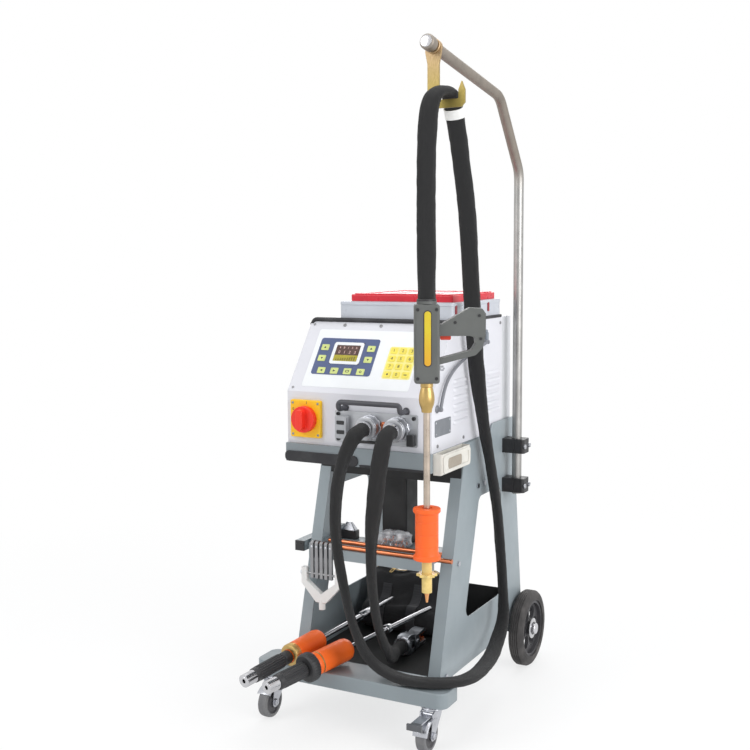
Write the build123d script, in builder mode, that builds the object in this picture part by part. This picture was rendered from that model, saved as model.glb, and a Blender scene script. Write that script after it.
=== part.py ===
"""Dent pulling welder on a four-wheel trolley, as separate pieces, in millimetres.

+X is the trolley's right as seen from the front, +Y runs to the back and +Z is up.
The origin is on the floor, in the middle of the trolley's width and wheelbase.
"""
import math
import os

from build123d import *

os.makedirs("parts", exist_ok=True)

# Sheet metal, fits and gaps
SHEET = 2.5
THIN_SHEET = 2.0
RUN = 0.05
SEAT = 0.2
SOFT_GAP = 0.3

# Trolley side plates
SIDE_X = 193.0
LEG_FOOT_GAP = 6.0
LEG_TOP_Y = -54.0
FRONT_FLANGE = 30.0
TOP_FLANGE = 25.0
REAR_TOP_Y = (95.0, 110.0, 252.0)
REAR_TOP_RISE = 25.0
WINDOW = ((-60.0, 226.0), (27.0, 509.0), (172.0, 509.0), (172.0, 226.0))
WINDOW_R = 22.0
AXLE_BOSS_R = 26.0

# Lower bin and front beam
BIN_RISE = 12.0
BIN_REAR_Y = 180.0
BIN_REAR_TOP = 238.0
BIN_EDGE = 25.0
BEAM_FRONT_Y = -300.0
BEAM_DEPTH = 87.0
BEAM_HALF = 249.0
BEAM_HEIGHT = 35.0
BEAM_CORNER_R = 22.0

# Tray, shelf and centre column
TRAY_Z = 655.0
TRAY_FRONT_Y = -243.0
TRAY_REAR_Y = 255.0
TRAY_LIP = 43.0
TRAY_SIDE_LIP_END = -72.0
SHELF_Z = 385.0
SHELF_FRONT_Y = -160.0
SHELF_NECK_GAP = 9.0
SHELF_NECK_CLEAR = 5.0
SHELF_WING_Y = -22.0
SHELF_TONGUE_HALF = 60.0
SHELF_REAR_Y = 30.0
SHELF_LIP = 25.0
COLUMN = 68.0
COLUMN_WALL = 3.0
COLUMN_Y = -19.0

# Side pocket on the tray's right lip
POCKET_FRONT_GAP = 11.0
POCKET_REAR_GAP = 4.0
POCKET_DEPTH = 23.0
POCKET_HEIGHT = 48.0
POCKET_WALL = 2.0

# Rear wheels
AXLE_Y = 304.0
AXLE_R = 8.0
WHEEL_R = 100.0
WHEEL_W = 38.0
WHEEL_GAP = 5.0
RIM_R = 74.0
HUB_R = 17.0
AXLE_CAP_R = 15.0

# Front casters
CASTER_INSET = 42.0
CASTER_SETBACK = 30.0
CASTER_WHEEL_R = 37.5
CASTER_WHEEL_W = 24.0
CASTER_TRAIL = 32.0
CASTER_HEAD_R = 24.0
CASTER_HEAD_T = 7.0
CASTER_BOSS = 4.0
CASTER_ROOM = 23.0
CASTER_PLATE = 4.0
KINGPIN_R = 6.0
FORK_GAP = 1.5
FORK_SHEET = 3.0
CASTER_AXLE_R = 4.0
BRAKE_SETBACK = 24.0
BRAKE_DROP = 6.0
BRAKE_PIN_R = 2.5
BRAKE_HUB_R = 4.5
BRAKE_REACH = 70.0

# Mast, clamps and hook
MAST_R = 12.0
MAST_WALL = 2.0
MAST_OFFSET = 32.0
MAST_Y = 197.0
MAST_FOOT_DROP = 23.0
MAST_BEND_Z = 1298.0
MAST_BEND_2 = (64.0, 1466.0)
MAST_END = (-326.0, 1527.0)
MAST_BEND_R = 60.0
CLAMP_DROPS = (144.0, 43.0)
CLAMP_WIDTH = 42.0
CLAMP_HEIGHT = 36.0
CLAMP_CAP = 26.0
CLAMP_SPLIT = 1.0
CAP_R = 16.5
CAP_LENGTH = 26.0
HOOK_Y = -303.0
HOOK_PLATE = 6.0
HOOK_SHANK = 26.0
HOOK_HEAD = 36.0
HOOK_THROAT = 44.0
HOOK_TIP_W = 14.0
HOOK_TIP_RISE = 35.0
HOOK_SADDLE_Z = 1414.0
HOOK_BELLY = 17.0

# Left hook bar and the comb puller on it
BAR_SIZE = 25.0
BAR_WALL = 2.0
BAR_Y = (-140.0, 60.0)
BAR_Z = 378.0
BAR_OFFSET = 12.0
BAR_SPACER_R = 9.0
BAR_SPACER_Y = (-105.0, -40.0)
RAIL_X = (-172.0, -96.0)
RAIL_T = 4.0
RAIL_GAP = 9.0
RAIL_RISE = 12.0
RAIL_HEIGHT = 34.0
RAIL_SPACER_R = 6.0
RAIL_SPACER_X = (-148.0, -108.0)
CLAW_COUNT = 5
CLAW_PITCH = 13.0
CLAW_FIRST_X = -160.0
CLAW_WIDTH = 8.0
CLAW_DEPTH = 7.0
CLAW_LIP_T = 5.0
CLAW_LIP = 14.0
CLAW_DROP = 84.0
PIN_R = 3.0
PIN_RISE = 11.0
YOKE_W = 14.0
YOKE_SIDE = 14.0
YOKE_ARM = 14.0
YOKE_DROP = 51.0
YOKE_STUB_R = 8.0
YOKE_STUB = 25.0

# Welder housing
BOX_GAP = 2.5
BOX_FRONT_SETBACK = 8.0
BOX_REAR_SETBACK = 6.0
FOLD_RISE = 123.0
CONSOLE_DEPTH = 117.0
BOX_HEIGHT = 284.0
REAR_DEPTH = 65.0
REAR_WALL = 2.5
LOUVRE = (80.0, 6.0)
LOUVRE_ROWS = 6
LOUVRE_PITCH = 19.0
LOUVRE_RISE = 101.0
LOUVRE_Y = (-76.0, 125.0)
VENT = (200.0, 6.0)
VENT_ROWS = 7
VENT_PITCH = 16.0
GLAND_X = -95.0
GLAND_RISE = 57.0
GLAND_R = 16.0
GLAND_BORE_R = 8.5
GLAND_LENGTH = 24.0

# Console, at distances along the slope from its fold
OVERLAY = (158.0, 100.0)
OVERLAY_X = -62.0
OVERLAY_S = 98.5
OVERLAY_THICK = 1.2
DISPLAY = (80.0, 60.0)
DISPLAY_X = -61.0
DISPLAY_S = 107.5
KEY = (20.0, 16.0)
KEY_ROW_PITCH = 35.0
KEY_THICK = 1.0
KEY_LEFT_X = -124.0
KEY_RIGHT_X = 0.0
KEY_SIDE_S = (92.0, 122.0)
KEY_ROW_S = 59.0
NUMBER_KEY = (17.0, 15.0)
NUMBER_X = 84.0
NUMBER_S = 88.0
NUMBER_PITCH = (23.0, 21.0)

# Main switch
SWITCH_X = -134.0
SWITCH_RISE = 60.0
SWITCH_PLATE = (82.0, 88.0)
SWITCH_PLATE_T = 9.0
KNOB_R = 31.0
KNOB_T = 15.0
KNOB_BAR = (18.0, 16.0)
KNOB_SHAFT_R = 5.0

# Lead sockets and carrying handle on the lower front
PLATE_X = (-57.0, 155.0)
PLATE_RISE = (12.0, 85.0)
PLATE_T = 3.0
SOCKET_X = (36.0, 107.0)
SOCKET_RISE = 51.0
SOCKET_R = 26.0
SOCKET_LENGTH = 29.0
SOCKET_DEPTH = 6.0
HANDLE_X = (-30.0, 126.0)
HANDLE_RISE = 109.0
HANDLE_DROP = 17.0
HANDLE_BEND = 8.0
HANDLE_R = 6.0
HANDLE_STANDOFF = 34.0

# Pieces inside the housing
CORE = (150.0, 120.0, 160.0)
CORE_LIMB = 36.0
CORE_Y = 60.0
COIL_THICK = 14.0
BOARD = (220.0, 110.0)
BOARD_T = 1.6
BOARD_STANDOFF = 12.0
STANDOFF_R = 4.0

# Accessory case on the housing
CASE_SIDE_GAP = 3.0
CASE_WIDTH = 297.0
CASE_FRONT_GAP = 4.0
CASE_REAR_GAP = 6.0
CASE_HEIGHT = 46.0
CASE_WALL = 3.0
CASE_LID_T = 16.0
CASE_LID_INSET = 14.0
CASE_LID_SETBACK = 28.0
CASE_LEDGE = 6.0
HINGE_R = 4.5
HINGE_PIN_R = 2.0
HINGE_OFFSET = 6.0
HINGE_LENGTH = 34.0
HINGE_X = (-60.0, 133.0)

# Pulling gun, hanging on its lead
GUN_X = 233.0
GUN_Y = -355.0
GUN_TURN = 28.0
GUN_TOP = 994.0
GUN_BODY = (53.0, 46.0, 165.0)
GUN_WALL = 3.0
GUN_EDGE_R = 6.0
GRIP_W = 34.0
GRIP_BAR_DROP = 66.0
GUARD_FOOT = (-66.0, -54.0)
GRIP_OUTER = (
    (0.0, 22.0),
    (44.0, 48.0),
    (62.0, 58.0),
    (88.0, 56.0),
    (95.0, 46.0),
    (95.0, 2.0),
    (88.0, -26.0),
    (74.0, -40.0),
)
GRIP_INNER = ((65.0, -30.0), (74.0, -16.0), (72.0, -3.0), (62.0, 0.0))
NOSE_R = (20.0, 13.0)
NOSE_LENGTH = 62.0
SHAFT_R = 7.0
SHAFT_BOTTOM = 410.0
HAMMER_Z = (452.0, 563.0)
HAMMER_R = 25.0
HAMMER_FLANGE_R = 29.5
HAMMER_FLANGE_T = 9.0
CHUCK_R = 11.0
CHUCK_BOTTOM = 380.0
STAR_R = 21.0
STAR_T = 6.0
TIP_BOTTOM = 358.0
TRIGGER = (22.0, 12.0, 26.0)
TRIGGER_X = 39.0
TRIGGER_PROUD = 9.0
TRIGGER_TRAVEL = 5.0

# Leads
LEAD_D = 36.0
GUN_LEAD = (
    (36.0, -261.0, 706.0),
    (36.0, -299.0, 706.0),
    (34.0, -331.0, 687.0),
    (24.0, -348.0, 646.0),
    (10.0, -352.0, 585.0),
    (6.0, -350.0, 503.0),
    (11.0, -342.0, 430.0),
    (20.0, -331.0, 365.0),
    (29.0, -317.0, 292.0),
    (42.0, -303.0, 230.0),
    (66.0, -290.0, 180.0),
    (112.0, -287.0, 155.5),
    (176.0, -285.0, 152.5),
    (240.0, -257.0, 153.0),
    (268.0, -205.0, 149.0),
    (266.0, -130.0, 142.0),
    (255.0, -42.0, 142.0),
    (243.0, 26.0, 156.0),
    (238.0, 80.0, 194.0),
    (230.0, 96.0, 262.0),
    (225.0, 90.0, 350.0),
    (223.0, 76.0, 452.0),
    (222.0, 32.0, 580.0),
    (218.0, -14.0, 702.0),
    (218.0, -57.0, 842.0),
    (223.0, -95.0, 1002.0),
    (235.0, -145.0, 1180.0),
    (245.0, -210.0, 1310.0),
    (252.0, -262.0, 1414.0),
    (259.0, -303.0, 1439.0),
    (248.0, -343.0, 1415.0),
    (236.0, -356.0, 1340.0),
    (232.0, -355.0, 1200.0),
    (233.0, -355.0, 1090.0),
    (233.0, -355.0, 1000.0),
)
EARTH_LEAD = (
    (107.0, -261.0, 706.0),
    (107.0, -293.0, 706.0),
    (108.0, -318.0, 686.0),
    (106.0, -330.0, 643.0),
    (99.0, -335.0, 575.0),
    (90.0, -332.0, 500.0),
    (83.0, -322.0, 425.0),
    (79.0, -304.0, 355.0),
    (78.0, -282.0, 290.0),
    (79.0, -256.0, 236.0),
    (78.0, -222.0, 188.0),
    (68.0, -182.0, 154.0),
    (48.0, -146.0, 140.0),
    (32.0, -116.0, 138.0),
    (32.0, -78.0, 138.0),
)
CLAMP_BODY = (46.0, 108.0, 50.0)

# Loose slide hammers lying in the bin over the beam
PULLER_ROD_R = 6.0
PULLER_FRONTS = ((-175.0, -454.0), (-110.0, -461.0))
PULLER_REARS = ((-76.0, 84.0), (44.0, 61.0))
PULLER_SLEEVE_R = 27.0
PULLER_STOP_GAP = 1.0
PULLER_SLEEVE_EDGE = 4.0
PULLER_SLEEVE_LENGTH = (112.0, 116.0)
PULLER_GRIP_R = (17.5, 19.0)
PULLER_GRIP_LENGTH = (95.0, 84.0)
PULLER_COLLAR_R = (16.0, 34.0)
PULLER_COLLAR = 24.0
PULLER_HEAD_R = 15.0
PULLER_HEAD = 30.0
PULLER_BORE_R = 5.0
PULLER_BORE = 22.0

# Things kept on the shelf and in the bin
SHELF_ROD_R = 5.5
SHELF_ROD_LEFT = -155.0
SHELF_ROD_PROUD = 7.0
SHELF_ROD_SHORT = 3.5
SHELF_ROD_SETBACK = 10.0
PARTS_BAG = (100.0, 40.0, 44.0)
PARTS_BAG_X = 12.0
PARTS_BAG_GAP = 2.0
TOOL_BAG_X = (-168.0, 60.0)
TOOL_BAG_DEPTHS = (126.0, 84.0, 56.0)
TOOL_BAG_REAR_GAP = 4.0
TOOL_BAG_HEIGHT = 159.5
TOOL_BAG_STEPS = (77.5, 81.5)

# Fasteners
BOLT_R = 6.0
BOLT_T = 4.0
CLAMP_SCREW_R = 5.0

# Values worked out from the driving dimensions
PLATE_INNER_X = SIDE_X - SHEET
TRAY_UNDER = TRAY_Z - SHEET
TRAY_HALF = PLATE_INNER_X - SEAT
CASTER_X = BEAM_HALF - CASTER_INSET
CASTER_Z = CASTER_WHEEL_R
BEAM_BOTTOM = 2 * CASTER_WHEEL_R + CASTER_ROOM
BEAM_REAR_Y = BEAM_FRONT_Y + BEAM_DEPTH
BEAM_TOP = BEAM_BOTTOM + BEAM_HEIGHT
CASTER_Y = BEAM_FRONT_Y + CASTER_SETBACK
CASTER_HEAD_TOP = BEAM_BOTTOM - CASTER_BOSS
CASTER_HEAD_Z = (CASTER_HEAD_TOP - CASTER_HEAD_T, CASTER_HEAD_TOP)
BRAKE_PIVOT = (-BRAKE_SETBACK, CASTER_HEAD_Z[0] - BRAKE_DROP)
BIN_Z = BEAM_BOTTOM + BIN_RISE
BIN_FLOOR = BIN_Z + SHEET
LEG_FOOT_Y = BEAM_REAR_Y + LEG_FOOT_GAP
LEG_LEAN = (LEG_TOP_Y - LEG_FOOT_Y) / (TRAY_UNDER - BIN_Z)
AXLE_Z = WHEEL_R
WHEEL_INNER_X = SIDE_X + WHEEL_GAP
WHEEL_OUTER_X = WHEEL_INNER_X + WHEEL_W
SHELF_NECK_Y = LEG_FOOT_Y + LEG_LEAN * (SHELF_Z - BIN_Z) + SHEET + SHELF_NECK_GAP
SHELF_NECK_HALF = SIDE_X - FRONT_FLANGE - SHELF_NECK_CLEAR
POCKET_Y = (TRAY_FRONT_Y + POCKET_FRONT_GAP, TRAY_SIDE_LIP_END - POCKET_REAR_GAP)
MAST_X = SIDE_X + MAST_OFFSET
CLAMP_Z = [TRAY_Z - drop for drop in CLAMP_DROPS]
MAST_FOOT_Z = CLAMP_Z[0] - MAST_FOOT_DROP
MAST_BEND_1 = (MAST_Y, MAST_BEND_Z)
HOOK_TIP_X = MAST_X + HOOK_SHANK / 2 + HOOK_THROAT + HOOK_TIP_W
RAIL_TOP = SHELF_Z + RAIL_RISE
RAIL_BACK_Y = SHELF_FRONT_Y - RAIL_GAP
RAIL_FRONT_Y = RAIL_BACK_Y - RAIL_T
CLAW_FOOT_Z = RAIL_TOP - CLAW_DROP
PIN_Z = CLAW_FOOT_Z + PIN_RISE
YOKE_HUB_Z = CLAW_FOOT_Z - YOKE_DROP
BOX_HALF = PLATE_INNER_X - BOX_GAP
BOX_FRONT_Y = TRAY_FRONT_Y + BOX_FRONT_SETBACK
BOX_REAR_Y = TRAY_REAR_Y - BOX_REAR_SETBACK
BOX_TOP = TRAY_Z + BOX_HEIGHT
FOLD_Z = TRAY_Z + FOLD_RISE
CONSOLE_TOP_Y = BOX_FRONT_Y + CONSOLE_DEPTH
COVER_REAR_Y = BOX_REAR_Y - REAR_DEPTH
LOUVRE_Z = TRAY_Z + LOUVRE_RISE
GLAND_Z = TRAY_Z + GLAND_RISE
SWITCH_Z = TRAY_Z + SWITCH_RISE
PLATE_Z = (TRAY_Z + PLATE_RISE[0], TRAY_Z + PLATE_RISE[1])
SOCKET_Z = TRAY_Z + SOCKET_RISE
HANDLE_Z = TRAY_Z + HANDLE_RISE
HANDLE_FOOT_Z = HANDLE_Z - HANDLE_DROP
CASE_X = (BOX_HALF - CASE_SIDE_GAP - CASE_WIDTH, BOX_HALF - CASE_SIDE_GAP)
CASE_Y = (CONSOLE_TOP_Y + CASE_FRONT_GAP, COVER_REAR_Y - CASE_REAR_GAP)
PARTS_BAG_Y = COLUMN_Y - COLUMN / 2 - PARTS_BAG_GAP - PARTS_BAG[1] / 2
SHELF_ROD_Y = (
    SHELF_FRONT_Y + SHELF_ROD_SETBACK,
    PARTS_BAG_Y - PARTS_BAG[1] / 2 - SHELF_ROD_SHORT - SHELF_ROD_R,
)
SHELF_ROD_X = (
    (SHELF_ROD_LEFT, SIDE_X + SHELF_ROD_PROUD),
    (SHELF_ROD_LEFT, PLATE_INNER_X - SHELF_ROD_SHORT),
)
TOOL_BAG_REAR_Y = BIN_REAR_Y - TOOL_BAG_REAR_GAP
TOOL_BAG_Y = [TOOL_BAG_REAR_Y - depth for depth in TOOL_BAG_DEPTHS]
TOOL_BAG_STEP = [BIN_FLOOR + step for step in TOOL_BAG_STEPS]
TOOL_BAG_TOP = BIN_FLOOR + TOOL_BAG_HEIGHT
PULLER_SLEEVE_START = [
    PULLER_HEAD + length + PULLER_COLLAR + PULLER_STOP_GAP for length in PULLER_GRIP_LENGTH
]
SLOPE_ANGLE = math.degrees(math.atan2(BOX_TOP - FOLD_Z, CONSOLE_TOP_Y - BOX_FRONT_Y))
SLOPE = Plane(
    origin=(0, BOX_FRONT_Y, FOLD_Z),
    x_dir=(1, 0, 0),
    z_dir=(0, -(BOX_TOP - FOLD_Z), CONSOLE_TOP_Y - BOX_FRONT_Y),
)
GUN_FRAME = Plane(
    origin=(GUN_X, GUN_Y, 0),
    x_dir=(math.cos(math.radians(GUN_TURN)), math.sin(math.radians(GUN_TURN)), 0),
    z_dir=(0, 0, 1),
)
GUN_BOTTOM = GUN_TOP - GUN_BODY[2]
NOSE_BOTTOM = GUN_BOTTOM - NOSE_LENGTH
BAR_X = -SIDE_X - BAR_OFFSET - BAR_SIZE / 2
CASE_FLOOR_Z = BOX_TOP
CASE_RIM = CASE_FLOOR_Z + CASE_HEIGHT
HINGE_Y = CASE_Y[1] + HINGE_OFFSET
HINGE_Z = CASE_RIM + SOFT_GAP / 2


def save(builder, name):
    """Labels a finished piece and writes it as one STEP file."""
    builder.part.label = name
    export_step(builder.part, f"parts/{name}.step")


def span(low, high):
    """Gives the middle and the length between two places."""
    return (low + high) / 2, high - low


def leg_front(z):
    """Gives the place of the leaning front edge of a side plate at a height."""
    return LEG_FOOT_Y + LEG_LEAN * (z - BIN_Z)


# Trolley frame

def make_side_plates():
    with BuildPart() as right:
        with BuildSketch(Plane.YZ.offset(PLATE_INNER_X)):
            with BuildLine():
                Polyline(
                    (LEG_FOOT_Y, BIN_Z),
                    (LEG_TOP_Y, TRAY_UNDER),
                    (REAR_TOP_Y[0], TRAY_UNDER),
                    (REAR_TOP_Y[1], TRAY_UNDER + REAR_TOP_RISE),
                    (REAR_TOP_Y[2], TRAY_UNDER + REAR_TOP_RISE),
                    (AXLE_Y + AXLE_BOSS_R, AXLE_Z),
                    (AXLE_Y, AXLE_Z - AXLE_BOSS_R),
                    (WINDOW[3][0] + 2 * AXLE_BOSS_R, BIN_Z),
                    close=True,
                )
            make_face()
            with Locations((AXLE_Y, AXLE_Z)):
                Circle(AXLE_BOSS_R)
            with BuildLine():
                FilletPolyline(*WINDOW, radius=WINDOW_R, close=True)
            make_face(mode=Mode.SUBTRACT)
            with Locations((AXLE_Y, AXLE_Z)):
                Circle(AXLE_R + RUN, mode=Mode.SUBTRACT)
        extrude(amount=SHEET)
        with BuildSketch(Plane.YZ.offset(SIDE_X - FRONT_FLANGE)):
            with BuildLine():
                Polyline(
                    (LEG_FOOT_Y, BIN_Z),
                    (LEG_TOP_Y, TRAY_UNDER),
                    (LEG_TOP_Y + SHEET, TRAY_UNDER),
                    (LEG_FOOT_Y + SHEET, BIN_Z),
                    close=True,
                )
            make_face()
        extrude(amount=FRONT_FLANGE - SHEET / 2)
        flange_y, flange_length = span(LEG_TOP_Y, REAR_TOP_Y[0])
        with Locations((SIDE_X - TOP_FLANGE / 2, flange_y, TRAY_UNDER - SHEET / 2)):
            Box(TOP_FLANGE, flange_length, SHEET)
    save(right, "side_plate_right")
    with BuildPart() as left:
        add(right.part.mirror(Plane.YZ))
    save(left, "side_plate_left")


def make_lower_bin():
    front_y = BEAM_REAR_Y
    floor_y, floor_length = span(front_y, BIN_REAR_Y + SHEET)
    with BuildPart() as lower_bin:
        with Locations((0, floor_y, BIN_Z + SHEET / 2)):
            Box(2 * TRAY_HALF, floor_length, SHEET)
        with Locations((0, front_y + SHEET / 2, (BIN_Z + BEAM_TOP) / 2)):
            Box(2 * (SIDE_X - FRONT_FLANGE - SEAT), SHEET, BEAM_TOP - BIN_Z)
        with Locations((0, BIN_REAR_Y + SHEET / 2, (BIN_Z + BIN_REAR_TOP) / 2)):
            Box(2 * TRAY_HALF, SHEET, BIN_REAR_TOP - BIN_Z)
        edge_front = leg_front(BIN_Z + BIN_EDGE) + 2 * SHEET
        edge_y, edge_length = span(edge_front, BIN_REAR_Y + SHEET)
        for side in (-1, 1):
            with Locations((side * (TRAY_HALF - SHEET / 2), edge_y, BIN_Z + BIN_EDGE / 2)):
                Box(SHEET, edge_length, BIN_EDGE)
            foot_y, foot_length = span(front_y, LEG_FOOT_Y + 2 * SHEET)
            notch_x = SIDE_X - FRONT_FLANGE / 2
            with Locations((side * notch_x, foot_y, BIN_Z + SHEET / 2)):
                Box(FRONT_FLANGE + 2 * SEAT, foot_length, SHEET, mode=Mode.SUBTRACT)
    save(lower_bin, "lower_bin")


def make_front_beam():
    beam_y = BEAM_FRONT_Y + BEAM_DEPTH / 2
    with BuildPart() as beam:
        with BuildSketch(Plane.XY.offset(BEAM_BOTTOM)):
            with Locations((0, beam_y)):
                RectangleRounded(2 * BEAM_HALF, BEAM_DEPTH, BEAM_CORNER_R)
        extrude(amount=BEAM_HEIGHT)
        fillet(beam.edges().group_by(Axis.Z)[-1], SHEET)
        with BuildSketch(Plane.XY.offset(BEAM_BOTTOM)):
            with Locations((0, beam_y)):
                RectangleRounded(
                    2 * (BEAM_HALF - SHEET), BEAM_DEPTH - 2 * SHEET, BEAM_CORNER_R - SHEET
                )
        extrude(amount=BEAM_HEIGHT - SHEET, mode=Mode.SUBTRACT)
    save(beam, "front_beam")


def make_top_tray():
    tray_y, tray_length = span(TRAY_FRONT_Y, TRAY_REAR_Y)
    lip_y, lip_length = span(TRAY_FRONT_Y, TRAY_SIDE_LIP_END)
    lip_z = TRAY_Z - TRAY_LIP / 2
    with BuildPart() as tray:
        with Locations((0, tray_y, TRAY_Z - SHEET / 2)):
            Box(2 * TRAY_HALF, tray_length, SHEET)
        with Locations((0, TRAY_FRONT_Y + SHEET / 2, lip_z)):
            Box(2 * TRAY_HALF, SHEET, TRAY_LIP)
        for side in (-1, 1):
            with Locations((side * (TRAY_HALF - SHEET / 2), lip_y, lip_z)):
                Box(SHEET, lip_length, TRAY_LIP)
        corners = tray.edges().filter_by(Axis.Z).group_by(Axis.Y)[0]
        fillet(corners.group_by(SortBy.LENGTH)[-1], SHEET - SEAT)
    save(tray, "top_tray")


def make_mid_shelf():
    neck_y, neck_length = span(SHELF_FRONT_Y, SHELF_NECK_Y)
    deck_y, deck_length = span(SHELF_NECK_Y, SHELF_WING_Y)
    tongue_y, tongue_length = span(SHELF_WING_Y, SHELF_REAR_Y)
    side_lip_y, side_lip_length = span(SHELF_NECK_Y, WINDOW[0][0])
    with BuildPart() as shelf:
        with Locations((0, neck_y, SHELF_Z - SHEET / 2)):
            Box(2 * SHELF_NECK_HALF, neck_length, SHEET)
        with Locations((0, deck_y, SHELF_Z - SHEET / 2)):
            Box(2 * TRAY_HALF, deck_length, SHEET)
        with Locations((0, tongue_y, SHELF_Z - SHEET / 2)):
            Box(2 * SHELF_TONGUE_HALF, tongue_length, SHEET)
        with Locations((0, SHELF_FRONT_Y + SHEET / 2, SHELF_Z - SHELF_LIP / 2)):
            Box(2 * SHELF_NECK_HALF, SHEET, SHELF_LIP)
        for side in (-1, 1):
            with Locations((side * (TRAY_HALF - SHEET / 2), side_lip_y, SHELF_Z - SHELF_LIP / 2)):
                Box(SHEET, side_lip_length, SHELF_LIP)
    save(shelf, "mid_shelf")


def make_centre_column():
    with BuildPart() as column:
        with BuildSketch(Plane.XY.offset(SHELF_Z)):
            with Locations((0, COLUMN_Y)):
                RectangleRounded(COLUMN, COLUMN, 2 * COLUMN_WALL)
                Rectangle(
                    COLUMN - 2 * COLUMN_WALL, COLUMN - 2 * COLUMN_WALL, mode=Mode.SUBTRACT
                )
        extrude(amount=TRAY_UNDER - SHELF_Z)
    save(column, "centre_column")


def make_side_pocket():
    pocket_y, pocket_length = span(*POCKET_Y)
    inner_x = TRAY_HALF + SEAT
    with BuildPart() as pocket:
        with Locations((inner_x + POCKET_DEPTH / 2, pocket_y, TRAY_Z - POCKET_HEIGHT / 2)):
            Box(POCKET_DEPTH, pocket_length, POCKET_HEIGHT)
        outer_edges = pocket.edges().group_by(Axis.X)[-1].sort_by(Axis.Z)
        fillet(outer_edges[:-1], 3 * POCKET_WALL)
        mouth = pocket.faces().sort_by(Axis.Z)[-1]
        offset(amount=-POCKET_WALL, openings=mouth)
    save(pocket, "side_pocket")


def make_frame_bolts():
    beside_window = TRAY_UNDER - WINDOW[1][1]
    shelf_bolt = (leg_front(SHELF_Z) + FRONT_FLANGE, SHELF_Z - SHELF_LIP / 2)
    plate_bolts = (
        (WINDOW[1][0] - BOLT_R * 2, WINDOW[1][1] + beside_window / 5),
        (WINDOW[1][0] + BOLT_R * 5, WINDOW[1][1] + beside_window / 5),
        (leg_front(BIN_Z + BIN_EDGE) + FRONT_FLANGE, BIN_Z + BIN_EDGE / 2),
        (BIN_REAR_Y - FRONT_FLANGE, BIN_Z + BIN_EDGE / 2),
    )
    clamp_screw_y = CLAMP_WIDTH / 2 - CLAMP_SCREW_R - 2
    cap_face = MAST_X + CLAMP_CAP
    with BuildPart() as bolts:
        for side in (-1, 1):
            face = Plane.YZ.offset(side * SIDE_X)
            with BuildSketch(face):
                with Locations(*plate_bolts):
                    Circle(BOLT_R)
                if side > 0:
                    with Locations(shelf_bolt):
                        Circle(BOLT_R)
            extrude(amount=side * BOLT_T)
        with BuildSketch(Plane.YZ.offset(cap_face)):
            for z in CLAMP_Z:
                with Locations((MAST_Y - clamp_screw_y, z), (MAST_Y + clamp_screw_y, z)):
                    Circle(CLAMP_SCREW_R)
        extrude(amount=BOLT_T)
    save(bolts, "frame_bolts")


# Rear wheels

def make_rear_axle():
    half = WHEEL_OUTER_X + BOLT_T
    with BuildPart() as axle:
        with Locations((0, AXLE_Y, AXLE_Z)):
            Cylinder(AXLE_R, 2 * half, rotation=(0, 90, 0))
    save(axle, "rear_axle")


def make_rear_wheel(side_name, side):
    wheel_x = side * (WHEEL_INNER_X + WHEEL_W / 2)
    tread_r = min(WHEEL_W, WHEEL_R - RIM_R) / 3
    axle_line = Axis((0, AXLE_Y, AXLE_Z), (1, 0, 0))
    with BuildPart() as tyre:
        with BuildSketch(Plane.XY.offset(AXLE_Z)):
            with Locations((wheel_x, AXLE_Y + (RIM_R + WHEEL_R) / 2)):
                RectangleRounded(WHEEL_W, WHEEL_R - RIM_R, tread_r)
            with Locations((wheel_x, AXLE_Y + RIM_R + tread_r / 2)):
                Rectangle(WHEEL_W - 2 * BOLT_T, tread_r)
        revolve(axis=axle_line)
    save(tyre, f"rear_tyre_{side_name}")
    rim_ring = 7.0
    web = 10.0
    spokes = 6
    hub_length = WHEEL_OUTER_X - SIDE_X - 2 * SEAT
    hub_x = side * (SIDE_X + SEAT + hub_length / 2)
    with BuildPart() as rim:
        with Locations((hub_x, AXLE_Y, AXLE_Z)):
            Cylinder(HUB_R, hub_length, rotation=(0, 90, 0))
        with Locations((wheel_x, AXLE_Y, AXLE_Z)):
            Cylinder(RIM_R, web, rotation=(0, 90, 0))
        with BuildSketch(Plane.YZ.offset(wheel_x - WHEEL_W / 2 + BOLT_T)):
            with Locations((AXLE_Y, AXLE_Z)):
                Circle(RIM_R)
                Circle(RIM_R - rim_ring, mode=Mode.SUBTRACT)
        extrude(amount=WHEEL_W - 2 * BOLT_T)
        with BuildSketch(Plane.YZ.offset(wheel_x - web)):
            with Locations((AXLE_Y, AXLE_Z)):
                with PolarLocations((HUB_R + RIM_R - rim_ring) / 2, spokes):
                    Circle((RIM_R - rim_ring - HUB_R) / 2 - rim_ring)
        extrude(amount=2 * web, mode=Mode.SUBTRACT)
        with Locations((0, AXLE_Y, AXLE_Z)):
            Cylinder(AXLE_R + RUN, 2 * WHEEL_OUTER_X + WHEEL_W, rotation=(0, 90, 0), mode=Mode.SUBTRACT)
    save(rim, f"rear_rim_{side_name}")


# Front casters

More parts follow.
